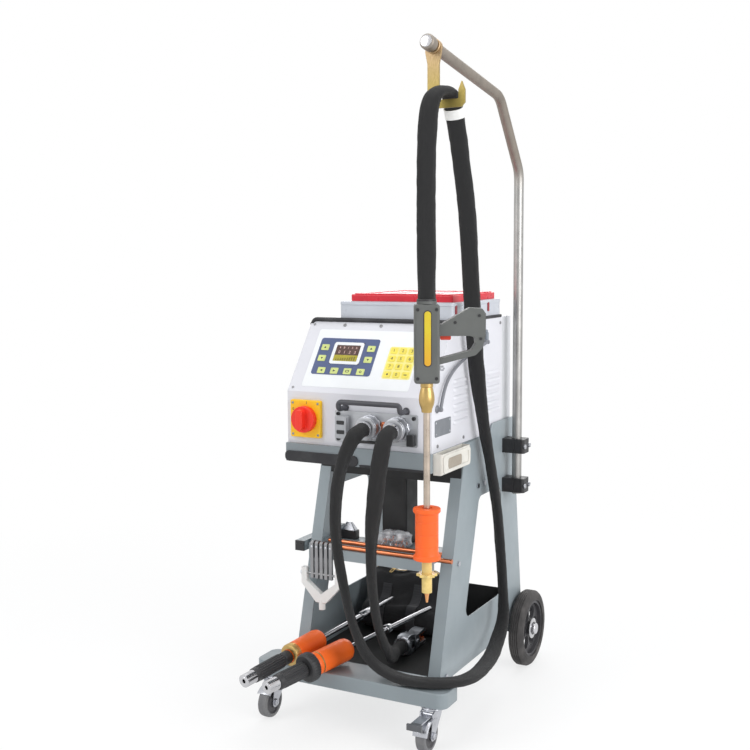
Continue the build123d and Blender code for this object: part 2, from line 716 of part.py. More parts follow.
def make_caster_plates():
    beam_y = BEAM_FRONT_Y + BEAM_DEPTH / 2
    inner_depth = BEAM_DEPTH - 2 * SHEET
    plate_half = CASTER_INSET - SHEET - THIN_SHEET / 2
    boss_bottom = CASTER_HEAD_Z[1] + SEAT
    with BuildPart() as plates:
        for side in (-1, 1):
            with BuildSketch(Plane.XY.offset(BEAM_BOTTOM)):
                with Locations((side * CASTER_X, beam_y)):
                    RectangleRounded(2 * plate_half, inner_depth, BEAM_CORNER_R)
            extrude(amount=CASTER_PLATE)
            with BuildSketch(Plane.XY.offset(boss_bottom)):
                with Locations((side * CASTER_X, CASTER_Y)):
                    Circle(CASTER_HEAD_R)
            extrude(amount=BEAM_BOTTOM - boss_bottom)
            pin_bottom = CASTER_HEAD_Z[0] - CASTER_PLATE
            with BuildSketch(Plane.XY.offset(pin_bottom)):
                with Locations((side * CASTER_X, CASTER_Y)):
                    Circle(KINGPIN_R)
            extrude(amount=boss_bottom - pin_bottom)
            with BuildSketch(Plane.XY.offset(pin_bottom)):
                with Locations((side * CASTER_X, CASTER_Y)):
                    Circle(1.5 * KINGPIN_R)
            extrude(amount=CASTER_PLATE - SEAT)
    save(plates, "caster_plates")


def make_caster(side_name, side, with_brake):
    axis_x = side * CASTER_X
    half_gap = CASTER_WHEEL_W / 2 + FORK_GAP
    wheel_y = CASTER_Y - CASTER_TRAIL
    head_low, head_high = CASTER_HEAD_Z
    with BuildPart() as fork:
        with BuildSketch(Plane.XY.offset(head_low)):
            with Locations((axis_x, CASTER_Y)):
                Circle(CASTER_HEAD_R)
        extrude(amount=head_high - head_low)
        for cheek_x in (axis_x + half_gap, axis_x - half_gap - FORK_SHEET):
            with BuildSketch(Plane.YZ.offset(cheek_x)):
                with BuildLine():
                    Polyline(
                        (wheel_y - 3 * CASTER_AXLE_R, CASTER_Z),
                        (CASTER_Y - CASTER_HEAD_R - 2 * BRAKE_HUB_R, head_low),
                        (CASTER_Y - CASTER_HEAD_R / 2, head_high),
                        (CASTER_Y + CASTER_HEAD_R / 2, head_high),
                        (CASTER_Y + CASTER_HEAD_R / 2, head_low - CASTER_HEAD_R / 2),
                        (wheel_y + 3 * CASTER_AXLE_R, CASTER_Z),
                        close=True,
                    )
                make_face()
                with Locations((wheel_y, CASTER_Z)):
                    Circle(3 * CASTER_AXLE_R)
            extrude(amount=FORK_SHEET)
        with BuildSketch(Plane.XY.offset(head_low)):
            with Locations((axis_x, CASTER_Y)):
                Circle(KINGPIN_R + RUN)
        extrude(amount=head_high - head_low, mode=Mode.SUBTRACT)
        with Locations((axis_x, wheel_y, CASTER_Z)):
            Cylinder(CASTER_AXLE_R, 2 * (half_gap + FORK_SHEET), rotation=(0, 90, 0))
        for end in (-1, 1):
            head_x = axis_x + end * (half_gap + FORK_SHEET + BOLT_T / 2)
            with Locations((head_x, wheel_y, CASTER_Z)):
                Cylinder(2 * CASTER_AXLE_R, BOLT_T, rotation=(0, 90, 0))
        if with_brake:
            pivot_y = CASTER_Y + BRAKE_PIVOT[0]
            with Locations((axis_x, pivot_y, BRAKE_PIVOT[1])):
                Cylinder(BRAKE_PIN_R, 2 * (half_gap + FORK_SHEET), rotation=(0, 90, 0))
    save(fork, f"caster_fork_{side_name}")
    with BuildPart() as wheel:
        with Locations((axis_x, wheel_y, CASTER_Z)):
            Cylinder(CASTER_WHEEL_R, CASTER_WHEEL_W, rotation=(0, 90, 0))
        rims = wheel.edges().filter_by(GeomType.CIRCLE)
        fillet(rims, CASTER_WHEEL_W / 4)
        with Locations((axis_x, wheel_y, CASTER_Z)):
            Cylinder(CASTER_AXLE_R + RUN, 2 * CASTER_WHEEL_W, rotation=(0, 90, 0), mode=Mode.SUBTRACT)
        for end in (-1, 1):
            recess_x = axis_x + end * CASTER_WHEEL_W / 2
            with BuildSketch(Plane.YZ.offset(recess_x - CASTER_WHEEL_W / 8)):
                with Locations((wheel_y, CASTER_Z)):
                    Circle(CASTER_WHEEL_R * 0.62)
                    Circle(CASTER_WHEEL_R * 0.26, mode=Mode.SUBTRACT)
            extrude(amount=CASTER_WHEEL_W / 4, mode=Mode.SUBTRACT)
    save(wheel, f"caster_wheel_{side_name}")


def make_caster_brake():
    axis_x = CASTER_X
    pivot_y = CASTER_Y + BRAKE_PIVOT[0]
    pivot_z = BRAKE_PIVOT[1]
    half = CASTER_WHEEL_W / 2
    arm = FORK_SHEET
    with BuildPart() as brake:
        with Locations((axis_x, pivot_y, pivot_z)):
            Cylinder(BRAKE_HUB_R, 2 * half, rotation=(0, 90, 0))
        with Locations((axis_x, pivot_y - BRAKE_REACH / 2, pivot_z)):
            Box(2 * half, BRAKE_REACH, arm)
        with Locations((axis_x, pivot_y - BRAKE_REACH, pivot_z - BRAKE_HUB_R)):
            Box(1.5 * CASTER_WHEEL_W, 2 * arm, 3 * BRAKE_HUB_R)
        with Locations((axis_x, pivot_y, pivot_z)):
            Cylinder(BRAKE_PIN_R + RUN, 4 * half, rotation=(0, 90, 0), mode=Mode.SUBTRACT)
    save(brake, "caster_brake")


# Mast, clamps and cable hook

def mast_points():
    """Gives the corners of the mast's middle line, from foot to arm end."""
    return (
        (MAST_X, MAST_Y, MAST_FOOT_Z),
        (MAST_X, *MAST_BEND_1),
        (MAST_X, *MAST_BEND_2),
        (MAST_X, *MAST_END),
    )


def make_mast():
    arm_rise = math.degrees(
        math.atan2(MAST_END[1] - MAST_BEND_2[1], MAST_BEND_2[0] - MAST_END[0])
    )
    arm_end = Plane(
        origin=(MAST_X, *MAST_END),
        x_dir=(1, 0, 0),
        z_dir=(0, -math.cos(math.radians(arm_rise)), math.sin(math.radians(arm_rise))),
    )
    with BuildPart() as mast:
        with BuildSketch(arm_end.offset(-CAP_LENGTH / 2)):
            Circle(CAP_R)
        extrude(amount=CAP_LENGTH)
        fillet(mast.edges().filter_by(GeomType.CIRCLE), CAP_R / 3)
        with BuildSketch(arm_end.offset(-CAP_LENGTH / 2)):
            Circle(MAST_R)
        extrude(amount=CAP_LENGTH / 2, mode=Mode.SUBTRACT)
        with BuildLine():
            FilletPolyline(*mast_points(), radius=MAST_BEND_R)
        with BuildSketch(Plane.XY.offset(MAST_FOOT_Z)):
            with Locations((MAST_X, MAST_Y)):
                Circle(MAST_R)
                Circle(MAST_R - MAST_WALL, mode=Mode.SUBTRACT)
        sweep()
    save(mast, "mast_tube")
    head_z = MAST_END[1] - (HOOK_Y - MAST_END[0]) * math.tan(math.radians(arm_rise))
    shank_left = MAST_X - HOOK_SHANK / 2
    belly_z = HOOK_SADDLE_Z - HOOK_BELLY
    with BuildPart() as hook:
        with BuildSketch(Plane.XZ.offset(-HOOK_Y - HOOK_PLATE / 2)):
            with BuildLine():
                Polyline(
                    (shank_left, belly_z + HOOK_BELLY / 2),
                    (shank_left + HOOK_BELLY / 2, belly_z),
                    (HOOK_TIP_X - HOOK_BELLY / 2, belly_z),
                    (HOOK_TIP_X, belly_z + HOOK_BELLY / 2),
                    (HOOK_TIP_X, HOOK_SADDLE_Z + HOOK_TIP_RISE / 2),
                    (HOOK_TIP_X - HOOK_TIP_W / 2, HOOK_SADDLE_Z + HOOK_TIP_RISE),
                    (HOOK_TIP_X - HOOK_TIP_W, HOOK_SADDLE_Z + HOOK_TIP_RISE / 2),
                    (HOOK_TIP_X - HOOK_TIP_W, HOOK_SADDLE_Z),
                    (MAST_X + HOOK_SHANK / 2, HOOK_SADDLE_Z),
                    (MAST_X + HOOK_SHANK / 2, head_z - HOOK_HEAD),
                    (MAST_X + HOOK_HEAD / 2, head_z - MAST_R),
                    (MAST_X + HOOK_HEAD / 2, head_z),
                    (MAST_X - HOOK_HEAD / 2, head_z),
                    (MAST_X - HOOK_HEAD / 2, head_z - MAST_R),
                    (shank_left, head_z - HOOK_HEAD),
                    close=True,
                )
            make_face()
        extrude(amount=HOOK_PLATE)
        with BuildSketch(arm_end.offset(-4 * CAP_LENGTH)):
            Circle(MAST_R + RUN)
        extrude(amount=6 * CAP_LENGTH, mode=Mode.SUBTRACT)
    save(hook, "cable_hook")


def make_mast_clamps():
    base_end = MAST_X - CLAMP_SPLIT / 2
    cap_start = MAST_X + CLAMP_SPLIT / 2
    with BuildPart() as clamps:
        for z in CLAMP_Z:
            with Locations(((SIDE_X + base_end) / 2, MAST_Y, z)):
                Box(base_end - SIDE_X, CLAMP_WIDTH, CLAMP_HEIGHT)
            with Locations(((cap_start + MAST_X + CLAMP_CAP) / 2, MAST_Y, z)):
                Box(MAST_X + CLAMP_CAP - cap_start, CLAMP_WIDTH, CLAMP_HEIGHT)
        outer = clamps.edges().filter_by(Axis.Z).group_by(Axis.X)[-1]
        fillet(outer, CLAMP_CAP / 4)
        mid_z, height = span(CLAMP_Z[0] - CLAMP_HEIGHT, CLAMP_Z[1] + CLAMP_HEIGHT)
        with Locations((MAST_X, MAST_Y, mid_z)):
            Cylinder(MAST_R, height, mode=Mode.SUBTRACT)
    save(clamps, "mast_clamps")


# Hook bar and comb puller on the left side

def make_hook_bar():
    bar_y, bar_length = span(*BAR_Y)
    with BuildPart() as bar:
        with Locations((BAR_X, bar_y, BAR_Z)):
            Box(BAR_SIZE, bar_length, BAR_SIZE)
            Box(BAR_SIZE - 2 * BAR_WALL, bar_length, BAR_SIZE - 2 * BAR_WALL, mode=Mode.SUBTRACT)
        for y in BAR_SPACER_Y:
            with BuildSketch(Plane.YZ.offset(-SIDE_X - BAR_OFFSET)):
                with Locations((y, BAR_Z)):
                    Circle(BAR_SPACER_R)
            extrude(amount=BAR_OFFSET)
        rail_x, rail_w = span(*RAIL_X)
        with Locations((rail_x, RAIL_BACK_Y - RAIL_T / 2, RAIL_TOP - RAIL_HEIGHT / 2)):
            Box(rail_w, RAIL_T, RAIL_HEIGHT)
        with BuildSketch(Plane.XZ.offset(-SHELF_FRONT_Y)):
            for x in RAIL_SPACER_X:
                with Locations((x, SHELF_Z - SHELF_LIP / 2)):
                    Circle(RAIL_SPACER_R)
        extrude(amount=RAIL_GAP)
    save(bar, "hook_bar")


def make_end_caps():
    axle_length = 2 * (WHEEL_OUTER_X + BOLT_T)
    with BuildPart() as caps:
        for side in (-1, 1):
            with BuildSketch(Plane.YZ.offset(side * (WHEEL_OUTER_X + SEAT))):
                with Locations((AXLE_Y, AXLE_Z)):
                    Circle(AXLE_CAP_R)
            extrude(amount=side * 2 * BOLT_T)
        fillet(caps.edges().group_by(Axis.X)[0] + caps.edges().group_by(Axis.X)[-1], BOLT_T)
        with Locations((0, AXLE_Y, AXLE_Z)):
            Cylinder(AXLE_R, axle_length, rotation=(0, 90, 0), mode=Mode.SUBTRACT)
        for y, out in ((BAR_Y[0], -1), (BAR_Y[1], 1)):
            with Locations((BAR_X, y + out * BAR_WALL, BAR_Z)):
                Box(BAR_SIZE, 2 * BAR_WALL, BAR_SIZE)
            with Locations((BAR_X, y - out * BAR_SIZE / 4, BAR_Z)):
                Box(BAR_SIZE - 2 * BAR_WALL, BAR_SIZE / 2, BAR_SIZE - 2 * BAR_WALL)
    save(caps, "end_caps")


def make_comb_puller():
    front_y = RAIL_FRONT_Y - SEAT
    back_y = RAIL_BACK_Y + SEAT
    rail_top = RAIL_TOP + SEAT
    claw_y = front_y - CLAW_DEPTH
    xs = [CLAW_FIRST_X + CLAW_PITCH * i for i in range(CLAW_COUNT)]
    pin_y = claw_y + CLAW_DEPTH / 2
    low_x = xs[0] - YOKE_SIDE
    high_x = xs[-1] + YOKE_SIDE
    mid_x, pin_length = span(low_x - YOKE_ARM, high_x + YOKE_ARM)
    with BuildPart() as claws:
        for x in xs:
            with BuildSketch(Plane.YZ.offset(x - CLAW_WIDTH / 2)):
                with BuildLine():
                    Polyline(
                        (claw_y, CLAW_FOOT_Z),
                        (claw_y, rail_top + CLAW_DEPTH / 2),
                        (claw_y + CLAW_DEPTH / 2, rail_top + CLAW_DEPTH),
                        (back_y + CLAW_LIP_T, rail_top + CLAW_DEPTH),
                        (back_y + CLAW_LIP_T, rail_top - CLAW_LIP),
                        (back_y, rail_top - CLAW_LIP),
                        (back_y, rail_top),
                        (front_y, rail_top),
                        (front_y, CLAW_FOOT_Z),
                        close=True,
                    )
                make_face()
            extrude(amount=CLAW_WIDTH)
        with Locations((mid_x, pin_y, PIN_Z)):
            Cylinder(PIN_R, pin_length, rotation=(0, 90, 0))
    save(claws, "comb_claws")
    with BuildPart() as yoke:
        with BuildSketch(Plane.XZ.offset(-pin_y - YOKE_W / 2)):
            with BuildLine():
                Polyline(
                    (low_x - YOKE_ARM, PIN_Z + YOKE_ARM),
                    (low_x, PIN_Z + YOKE_ARM),
                    (low_x, CLAW_FOOT_Z - YOKE_ARM / 2),
                    (mid_x, YOKE_HUB_Z + YOKE_ARM),
                    (high_x, CLAW_FOOT_Z - YOKE_ARM / 2),
                    (high_x, PIN_Z + YOKE_ARM),
                    (high_x + YOKE_ARM, PIN_Z + YOKE_ARM),
                    (high_x + YOKE_ARM, CLAW_FOOT_Z - YOKE_ARM),
                    (mid_x + YOKE_ARM, YOKE_HUB_Z - YOKE_ARM / 2),
                    (mid_x - YOKE_ARM, YOKE_HUB_Z - YOKE_ARM / 2),
                    (low_x - YOKE_ARM, CLAW_FOOT_Z - YOKE_ARM),
                    close=True,
                )
            make_face()
        extrude(amount=YOKE_W)
        with Locations((mid_x, pin_y, YOKE_HUB_Z - YOKE_STUB / 2)):
            Cylinder(YOKE_STUB_R, YOKE_STUB)
        with Locations((mid_x, pin_y, PIN_Z)):
            Cylinder(PIN_R, pin_length, rotation=(0, 90, 0), mode=Mode.SUBTRACT)
    save(yoke, "comb_yoke")


# Welder housing

def make_front_chassis():
    half = BOX_HALF - THIN_SHEET
    turn = math.radians(SLOPE_ANGLE)
    inward = (THIN_SHEET * math.sin(turn), -THIN_SHEET * math.cos(turn))
    inner_fold = THIN_SHEET * (1 - math.sin(turn)) / math.cos(turn)
    with BuildPart() as chassis:
        with BuildSketch(Plane.YZ.offset(-half)):
            with BuildLine():
                Polyline(
                    (COVER_REAR_Y, TRAY_Z),
                    (BOX_FRONT_Y, TRAY_Z),
                    (BOX_FRONT_Y, FOLD_Z),
                    (CONSOLE_TOP_Y, BOX_TOP),
                    (CONSOLE_TOP_Y + inward[0], BOX_TOP + inward[1]),
                    (BOX_FRONT_Y + THIN_SHEET, FOLD_Z - inner_fold),
                    (BOX_FRONT_Y + THIN_SHEET, TRAY_Z + THIN_SHEET),
                    (COVER_REAR_Y, TRAY_Z + THIN_SHEET),
                    close=True,
                )
            make_face()
        extrude(amount=2 * half)
    save(chassis, "front_chassis")


def make_housing_cover():
    side_x = BOX_HALF - THIN_SHEET
    top_front = CONSOLE_TOP_Y + THIN_SHEET
    top_y, top_length = span(top_front, COVER_REAR_Y)
    with BuildPart() as cover:
        for x in (-BOX_HALF, side_x):
            with BuildSketch(Plane.YZ.offset(x)):
                with BuildLine():
                    Polyline(
                        (COVER_REAR_Y, TRAY_Z),
                        (BOX_FRONT_Y, TRAY_Z),
                        (BOX_FRONT_Y, FOLD_Z),
                        (CONSOLE_TOP_Y, BOX_TOP),
                        (COVER_REAR_Y, BOX_TOP),
                        close=True,
                    )
                make_face()
                for y in LOUVRE_Y:
                    with Locations((y, LOUVRE_Z)):
                        with GridLocations(LOUVRE[0], LOUVRE_PITCH, 1, LOUVRE_ROWS):
                            SlotOverall(*LOUVRE, mode=Mode.SUBTRACT)
            extrude(amount=THIN_SHEET)
        with Locations((0, top_y, BOX_TOP - THIN_SHEET / 2)):
            Box(2 * BOX_HALF, top_length, THIN_SHEET)
    save(cover, "housing_cover")


def make_rear_panel():
    panel_y, depth = span(COVER_REAR_Y, BOX_REAR_Y)
    panel_z, height = span(TRAY_Z, BOX_TOP)
    with BuildPart() as panel:
        with Locations((0, panel_y, panel_z)):
            Box(2 * BOX_HALF, depth, height)
        fillet(panel.edges().group_by(Axis.Y)[-1], 4 * REAR_WALL)
        mouth = panel.faces().sort_by(Axis.Y)[0]
        offset(amount=-REAR_WALL, openings=mouth)
        with BuildSketch(Plane.XZ.offset(-BOX_REAR_Y)):
            with Locations((0, panel_z + height / 6)):
                with GridLocations(VENT[0], VENT_PITCH, 1, VENT_ROWS):
                    SlotOverall(*VENT)
            with Locations((GLAND_X, GLAND_Z)):
                Circle(GLAND_R - 2 * REAR_WALL)
        extrude(amount=2 * REAR_WALL, mode=Mode.SUBTRACT)
    save(panel, "rear_panel")
    with BuildPart() as gland:
        with BuildSketch(Plane.XZ.offset(-BOX_REAR_Y)):
            with Locations((GLAND_X, GLAND_Z)):
                RegularPolygon(GLAND_R, 6)
        extrude(amount=-GLAND_LENGTH / 3)
        with BuildSketch(Plane.XZ.offset(-BOX_REAR_Y)):
            with Locations((GLAND_X, GLAND_Z)):
                Circle(GLAND_R - 2 * REAR_WALL)
        extrude(amount=2 * REAR_WALL)
        with BuildSketch(Plane.XZ.offset(-BOX_REAR_Y - GLAND_LENGTH / 3)):
            with Locations((GLAND_X, GLAND_Z)):
                Circle(GLAND_R - REAR_WALL)
        extrude(amount=-GLAND_LENGTH * 2 / 3)
        with BuildSketch(Plane.XZ.offset(-BOX_REAR_Y - GLAND_LENGTH)):
            with Locations((GLAND_X, GLAND_Z)):
                Circle(GLAND_BORE_R)
        extrude(amount=GLAND_LENGTH + 2 * REAR_WALL, mode=Mode.SUBTRACT)
    save(gland, "mains_gland")


def make_console():
    with BuildPart() as overlay:
        with BuildSketch(SLOPE):
            with Locations((OVERLAY_X, OVERLAY_S)):
                RectangleRounded(*OVERLAY, 3 * THIN_SHEET)
            with Locations((DISPLAY_X, DISPLAY_S)):
                Rectangle(*DISPLAY, mode=Mode.SUBTRACT)
        extrude(amount=OVERLAY_THICK)
    save(overlay, "keypad_overlay")
    with BuildPart() as display:
        with BuildSketch(SLOPE):
            with Locations((DISPLAY_X, DISPLAY_S)):
                Rectangle(*DISPLAY)
        extrude(amount=OVERLAY_THICK)
    save(display, "display_window")
    with BuildPart() as keys:
        with BuildSketch(SLOPE.offset(OVERLAY_THICK)):
            for s in KEY_SIDE_S:
                with Locations((KEY_LEFT_X, s), (KEY_RIGHT_X, s)):
                    RectangleRounded(*KEY, THIN_SHEET)
            with Locations((OVERLAY_X, KEY_ROW_S)):
                with GridLocations(KEY_ROW_PITCH, KEY[1], 4, 1):
                    RectangleRounded(*KEY, THIN_SHEET)
        extrude(amount=KEY_THICK)
        with BuildSketch(SLOPE):
            with Locations((NUMBER_X, NUMBER_S)):
                with GridLocations(*NUMBER_PITCH, 3, 4):
                    RectangleRounded(*NUMBER_KEY, THIN_SHEET)
        extrude(amount=KEY_THICK + OVERLAY_THICK)
    save(keys, "console_keys")


def make_main_switch():
    face = Plane.XZ.offset(-BOX_FRONT_Y)
    plate_face = face.offset(SWITCH_PLATE_T)
    with BuildPart() as plate:
        with BuildSketch(face):
            with Locations((SWITCH_X, SWITCH_Z)):
                RectangleRounded(*SWITCH_PLATE, 2 * THIN_SHEET)
        extrude(amount=SWITCH_PLATE_T)
        fillet(plate.faces().sort_by(Axis.Y)[0].edges(), THIN_SHEET)
        with BuildSketch(face):
            with Locations((SWITCH_X, SWITCH_Z)):
                Circle(KNOB_SHAFT_R + RUN)
        extrude(amount=SWITCH_PLATE_T, mode=Mode.SUBTRACT)
    save(plate, "switch_plate")
    with BuildPart() as knob:
        with BuildSketch(plate_face.offset(SEAT)):
            with Locations((SWITCH_X, SWITCH_Z)):
                Circle(KNOB_R)
        extrude(amount=KNOB_T)
        fillet(knob.faces().sort_by(Axis.Y)[0].edges(), THIN_SHEET)
        with BuildSketch(plate_face.offset(SEAT + KNOB_T)):
            with Locations((SWITCH_X, SWITCH_Z)):
                SlotOverall(2 * KNOB_R - 6 * THIN_SHEET, KNOB_BAR[0], rotation=90)
        extrude(amount=KNOB_BAR[1])
        fillet(knob.faces().sort_by(Axis.Y)[0].edges(), THIN_SHEET)
        with BuildSketch(face.offset(SEAT)):
            with Locations((SWITCH_X, SWITCH_Z)):
                Circle(KNOB_SHAFT_R)
        extrude(amount=SWITCH_PLATE_T)
    save(knob, "switch_knob")


def make_socket_panel():
    face = Plane.XZ.offset(-BOX_FRONT_Y)
    plate_x, plate_w = span(*PLATE_X)
    plate_z, plate_h = span(*PLATE_Z)
    with BuildPart() as plate:
        with BuildSketch(face):
            with Locations((plate_x, plate_z)):
                RectangleRounded(plate_w, plate_h, 2 * THIN_SHEET)
        extrude(amount=PLATE_T)
    save(plate, "socket_plate")
    with BuildPart() as sockets:
        with BuildSketch(face.offset(PLATE_T)):
            for x in SOCKET_X:
                with Locations((x, SOCKET_Z)):
                    Circle(SOCKET_R)
        extrude(amount=SOCKET_LENGTH)
        fronts = sockets.faces().group_by(Axis.Y)[0].edges()
        fillet(fronts, THIN_SHEET)
        with BuildSketch(face.offset(PLATE_T + SOCKET_LENGTH - SOCKET_DEPTH)):
            for x in SOCKET_X:
                with Locations((x, SOCKET_Z)):
                    Circle(LEAD_D / 2 + SEAT)
        extrude(amount=SOCKET_DEPTH, mode=Mode.SUBTRACT)
    save(sockets, "lead_sockets")
    front_y = BOX_FRONT_Y - HANDLE_STANDOFF
    with BuildPart() as handle:
        with BuildLine():
            FilletPolyline(
                (HANDLE_X[0], BOX_FRONT_Y, HANDLE_FOOT_Z),
                (HANDLE_X[0], front_y, HANDLE_FOOT_Z),
                (HANDLE_X[0], front_y, HANDLE_Z),
                (HANDLE_X[1], front_y, HANDLE_Z),
                (HANDLE_X[1], front_y, HANDLE_FOOT_Z),
                (HANDLE_X[1], BOX_FRONT_Y, HANDLE_FOOT_Z),
                radius=HANDLE_BEND,
            )
        with BuildSketch(face):
            with Locations((HANDLE_X[0], HANDLE_FOOT_Z)):
                Circle(HANDLE_R)
        sweep()
    save(handle, "panel_handle")


def make_inner_pieces():
    base_z = TRAY_Z + THIN_SHEET
    core_z = base_z + CORE[2] / 2
    window = ((CORE[0] - 3 * CORE_LIMB) / 2, CORE[2] - 2 * CORE_LIMB)
    with BuildPart() as core:
        with Locations((0, CORE_Y, core_z)):
            Box(*CORE)
        with BuildSketch(Plane.XZ.offset(-CORE_Y - CORE[1] / 2)):
            with Locations((0, core_z)):
                with GridLocations(CORE_LIMB + window[0], window[1], 2, 1):
                    Rectangle(*window)
        extrude(amount=CORE[1], mode=Mode.SUBTRACT)
    save(core, "transformer_core")
    coil_wide = CORE_LIMB + 2 * min(COIL_THICK, window[0] - SEAT)
    with BuildPart() as coil:
        with Locations((0, CORE_Y, core_z)):
            Box(coil_wide, CORE[1] + 2 * COIL_THICK, window[1] - 2 * SEAT)
        fillet(coil.edges().filter_by(Axis.Z), COIL_THICK / 2)
        with Locations((0, CORE_Y, core_z)):
            Box(CORE_LIMB + 2 * SEAT, CORE[1] + 2 * SEAT, window[1], mode=Mode.SUBTRACT)
    save(coil, "transformer_coil")
    inside = SLOPE.offset(-THIN_SHEET - BOARD_STANDOFF)
    board_at = (0, OVERLAY_S)
    with BuildPart() as board:
        with BuildSketch(inside.offset(-BOARD_T)):
            with Locations(board_at):
                RectangleRounded(*BOARD, THIN_SHEET)
        extrude(amount=BOARD_T)
        with BuildSketch(inside):
            with Locations(board_at):
                with GridLocations(BOARD[0] - 4 * STANDOFF_R, BOARD[1] - 4 * STANDOFF_R, 2, 2):
                    Circle(STANDOFF_R)
        extrude(amount=BOARD_STANDOFF)
    save(board, "control_board")


# Accessory case

def make_case():
    case_x, case_w = span(*CASE_X)
    case_y, case_d = span(*CASE_Y)
    lid_w = case_w - 2 * CASE_LID_INSET
    lid_z = CASE_RIM + SOFT_GAP
    knuckle = HINGE_LENGTH / 3
    with BuildPart() as body:
        with Locations((case_x, case_y, CASE_FLOOR_Z + CASE_HEIGHT / 2)):
            Box(case_w, case_d, CASE_HEIGHT)
        fillet(body.edges().filter_by(Axis.Z), 2 * CASE_WALL)
        rim = body.faces().sort_by(Axis.Z)[-1]
        offset(amount=-CASE_WALL, openings=rim)
        mouth_y, mouth_d = span(CASE_Y[0] + CASE_LID_SETBACK + CASE_LEDGE, CASE_Y[1] - CASE_WALL)
        with BuildSketch(Plane.XY.offset(CASE_RIM - CASE_WALL)):
            with Locations((case_x, case_y)):
                RectangleRounded(case_w, case_d, 2 * CASE_WALL)
            with Locations((case_x, mouth_y)):
                Rectangle(lid_w - 2 * CASE_LEDGE, mouth_d, mode=Mode.SUBTRACT)
        extrude(amount=CASE_WALL)
        for x in HINGE_X:
            for end in (-1, 1):
                at_x = x + end * knuckle
                with Locations((at_x, HINGE_Y, HINGE_Z)):
                    Cylinder(HINGE_R, knuckle - SEAT, rotation=(0, 90, 0))
                arm_y, arm_d = span(CASE_Y[1] - CASE_WALL / 2, HINGE_Y)
                with Locations((at_x, arm_y, CASE_RIM - HINGE_R)):
                    Box(knuckle - SEAT, arm_d, HINGE_R)
        for x in HINGE_X:
            with Locations((x, HINGE_Y, HINGE_Z)):
                Cylinder(HINGE_PIN_R, HINGE_LENGTH, rotation=(0, 90, 0))
    save(body, "case_body")
    with BuildPart() as lid:
        lid_y, lid_d = span(CASE_Y[0] + CASE_LID_SETBACK, CASE_Y[1] - CASE_WALL / 2)
        with Locations((case_x, lid_y, lid_z + CASE_LID_T / 2)):
            Box(lid_w, lid_d, CASE_LID_T)
        fillet(lid.edges().filter_by(Axis.Z), 2 * CASE_WALL)
        fillet(lid.faces().sort_by(Axis.Z)[-1].edges(), CASE_WALL)
        with Locations((case_x, lid_y, lid_z + (CASE_LID_T - CASE_WALL) / 2)):
            Box(
                lid_w - 2 * CASE_WALL,
                lid_d - 2 * CASE_WALL,
                CASE_LID_T - CASE_WALL,
                mode=Mode.SUBTRACT,
            )
        for x in HINGE_X:
            with Locations((x, HINGE_Y, HINGE_Z)):
                Cylinder(HINGE_R, knuckle - SEAT, rotation=(0, 90, 0))
            arm_y, arm_d = span(CASE_Y[1] - CASE_WALL, HINGE_Y)
            with Locations((x, arm_y, lid_z + HINGE_R / 2)):
                Box(knuckle - SEAT, arm_d, HINGE_R)
            with Locations((x, HINGE_Y, HINGE_Z)):
                Cylinder(HINGE_PIN_R + RUN, HINGE_LENGTH, rotation=(0, 90, 0), mode=Mode.SUBTRACT)
    save(lid, "case_lid")


# Pulling gun

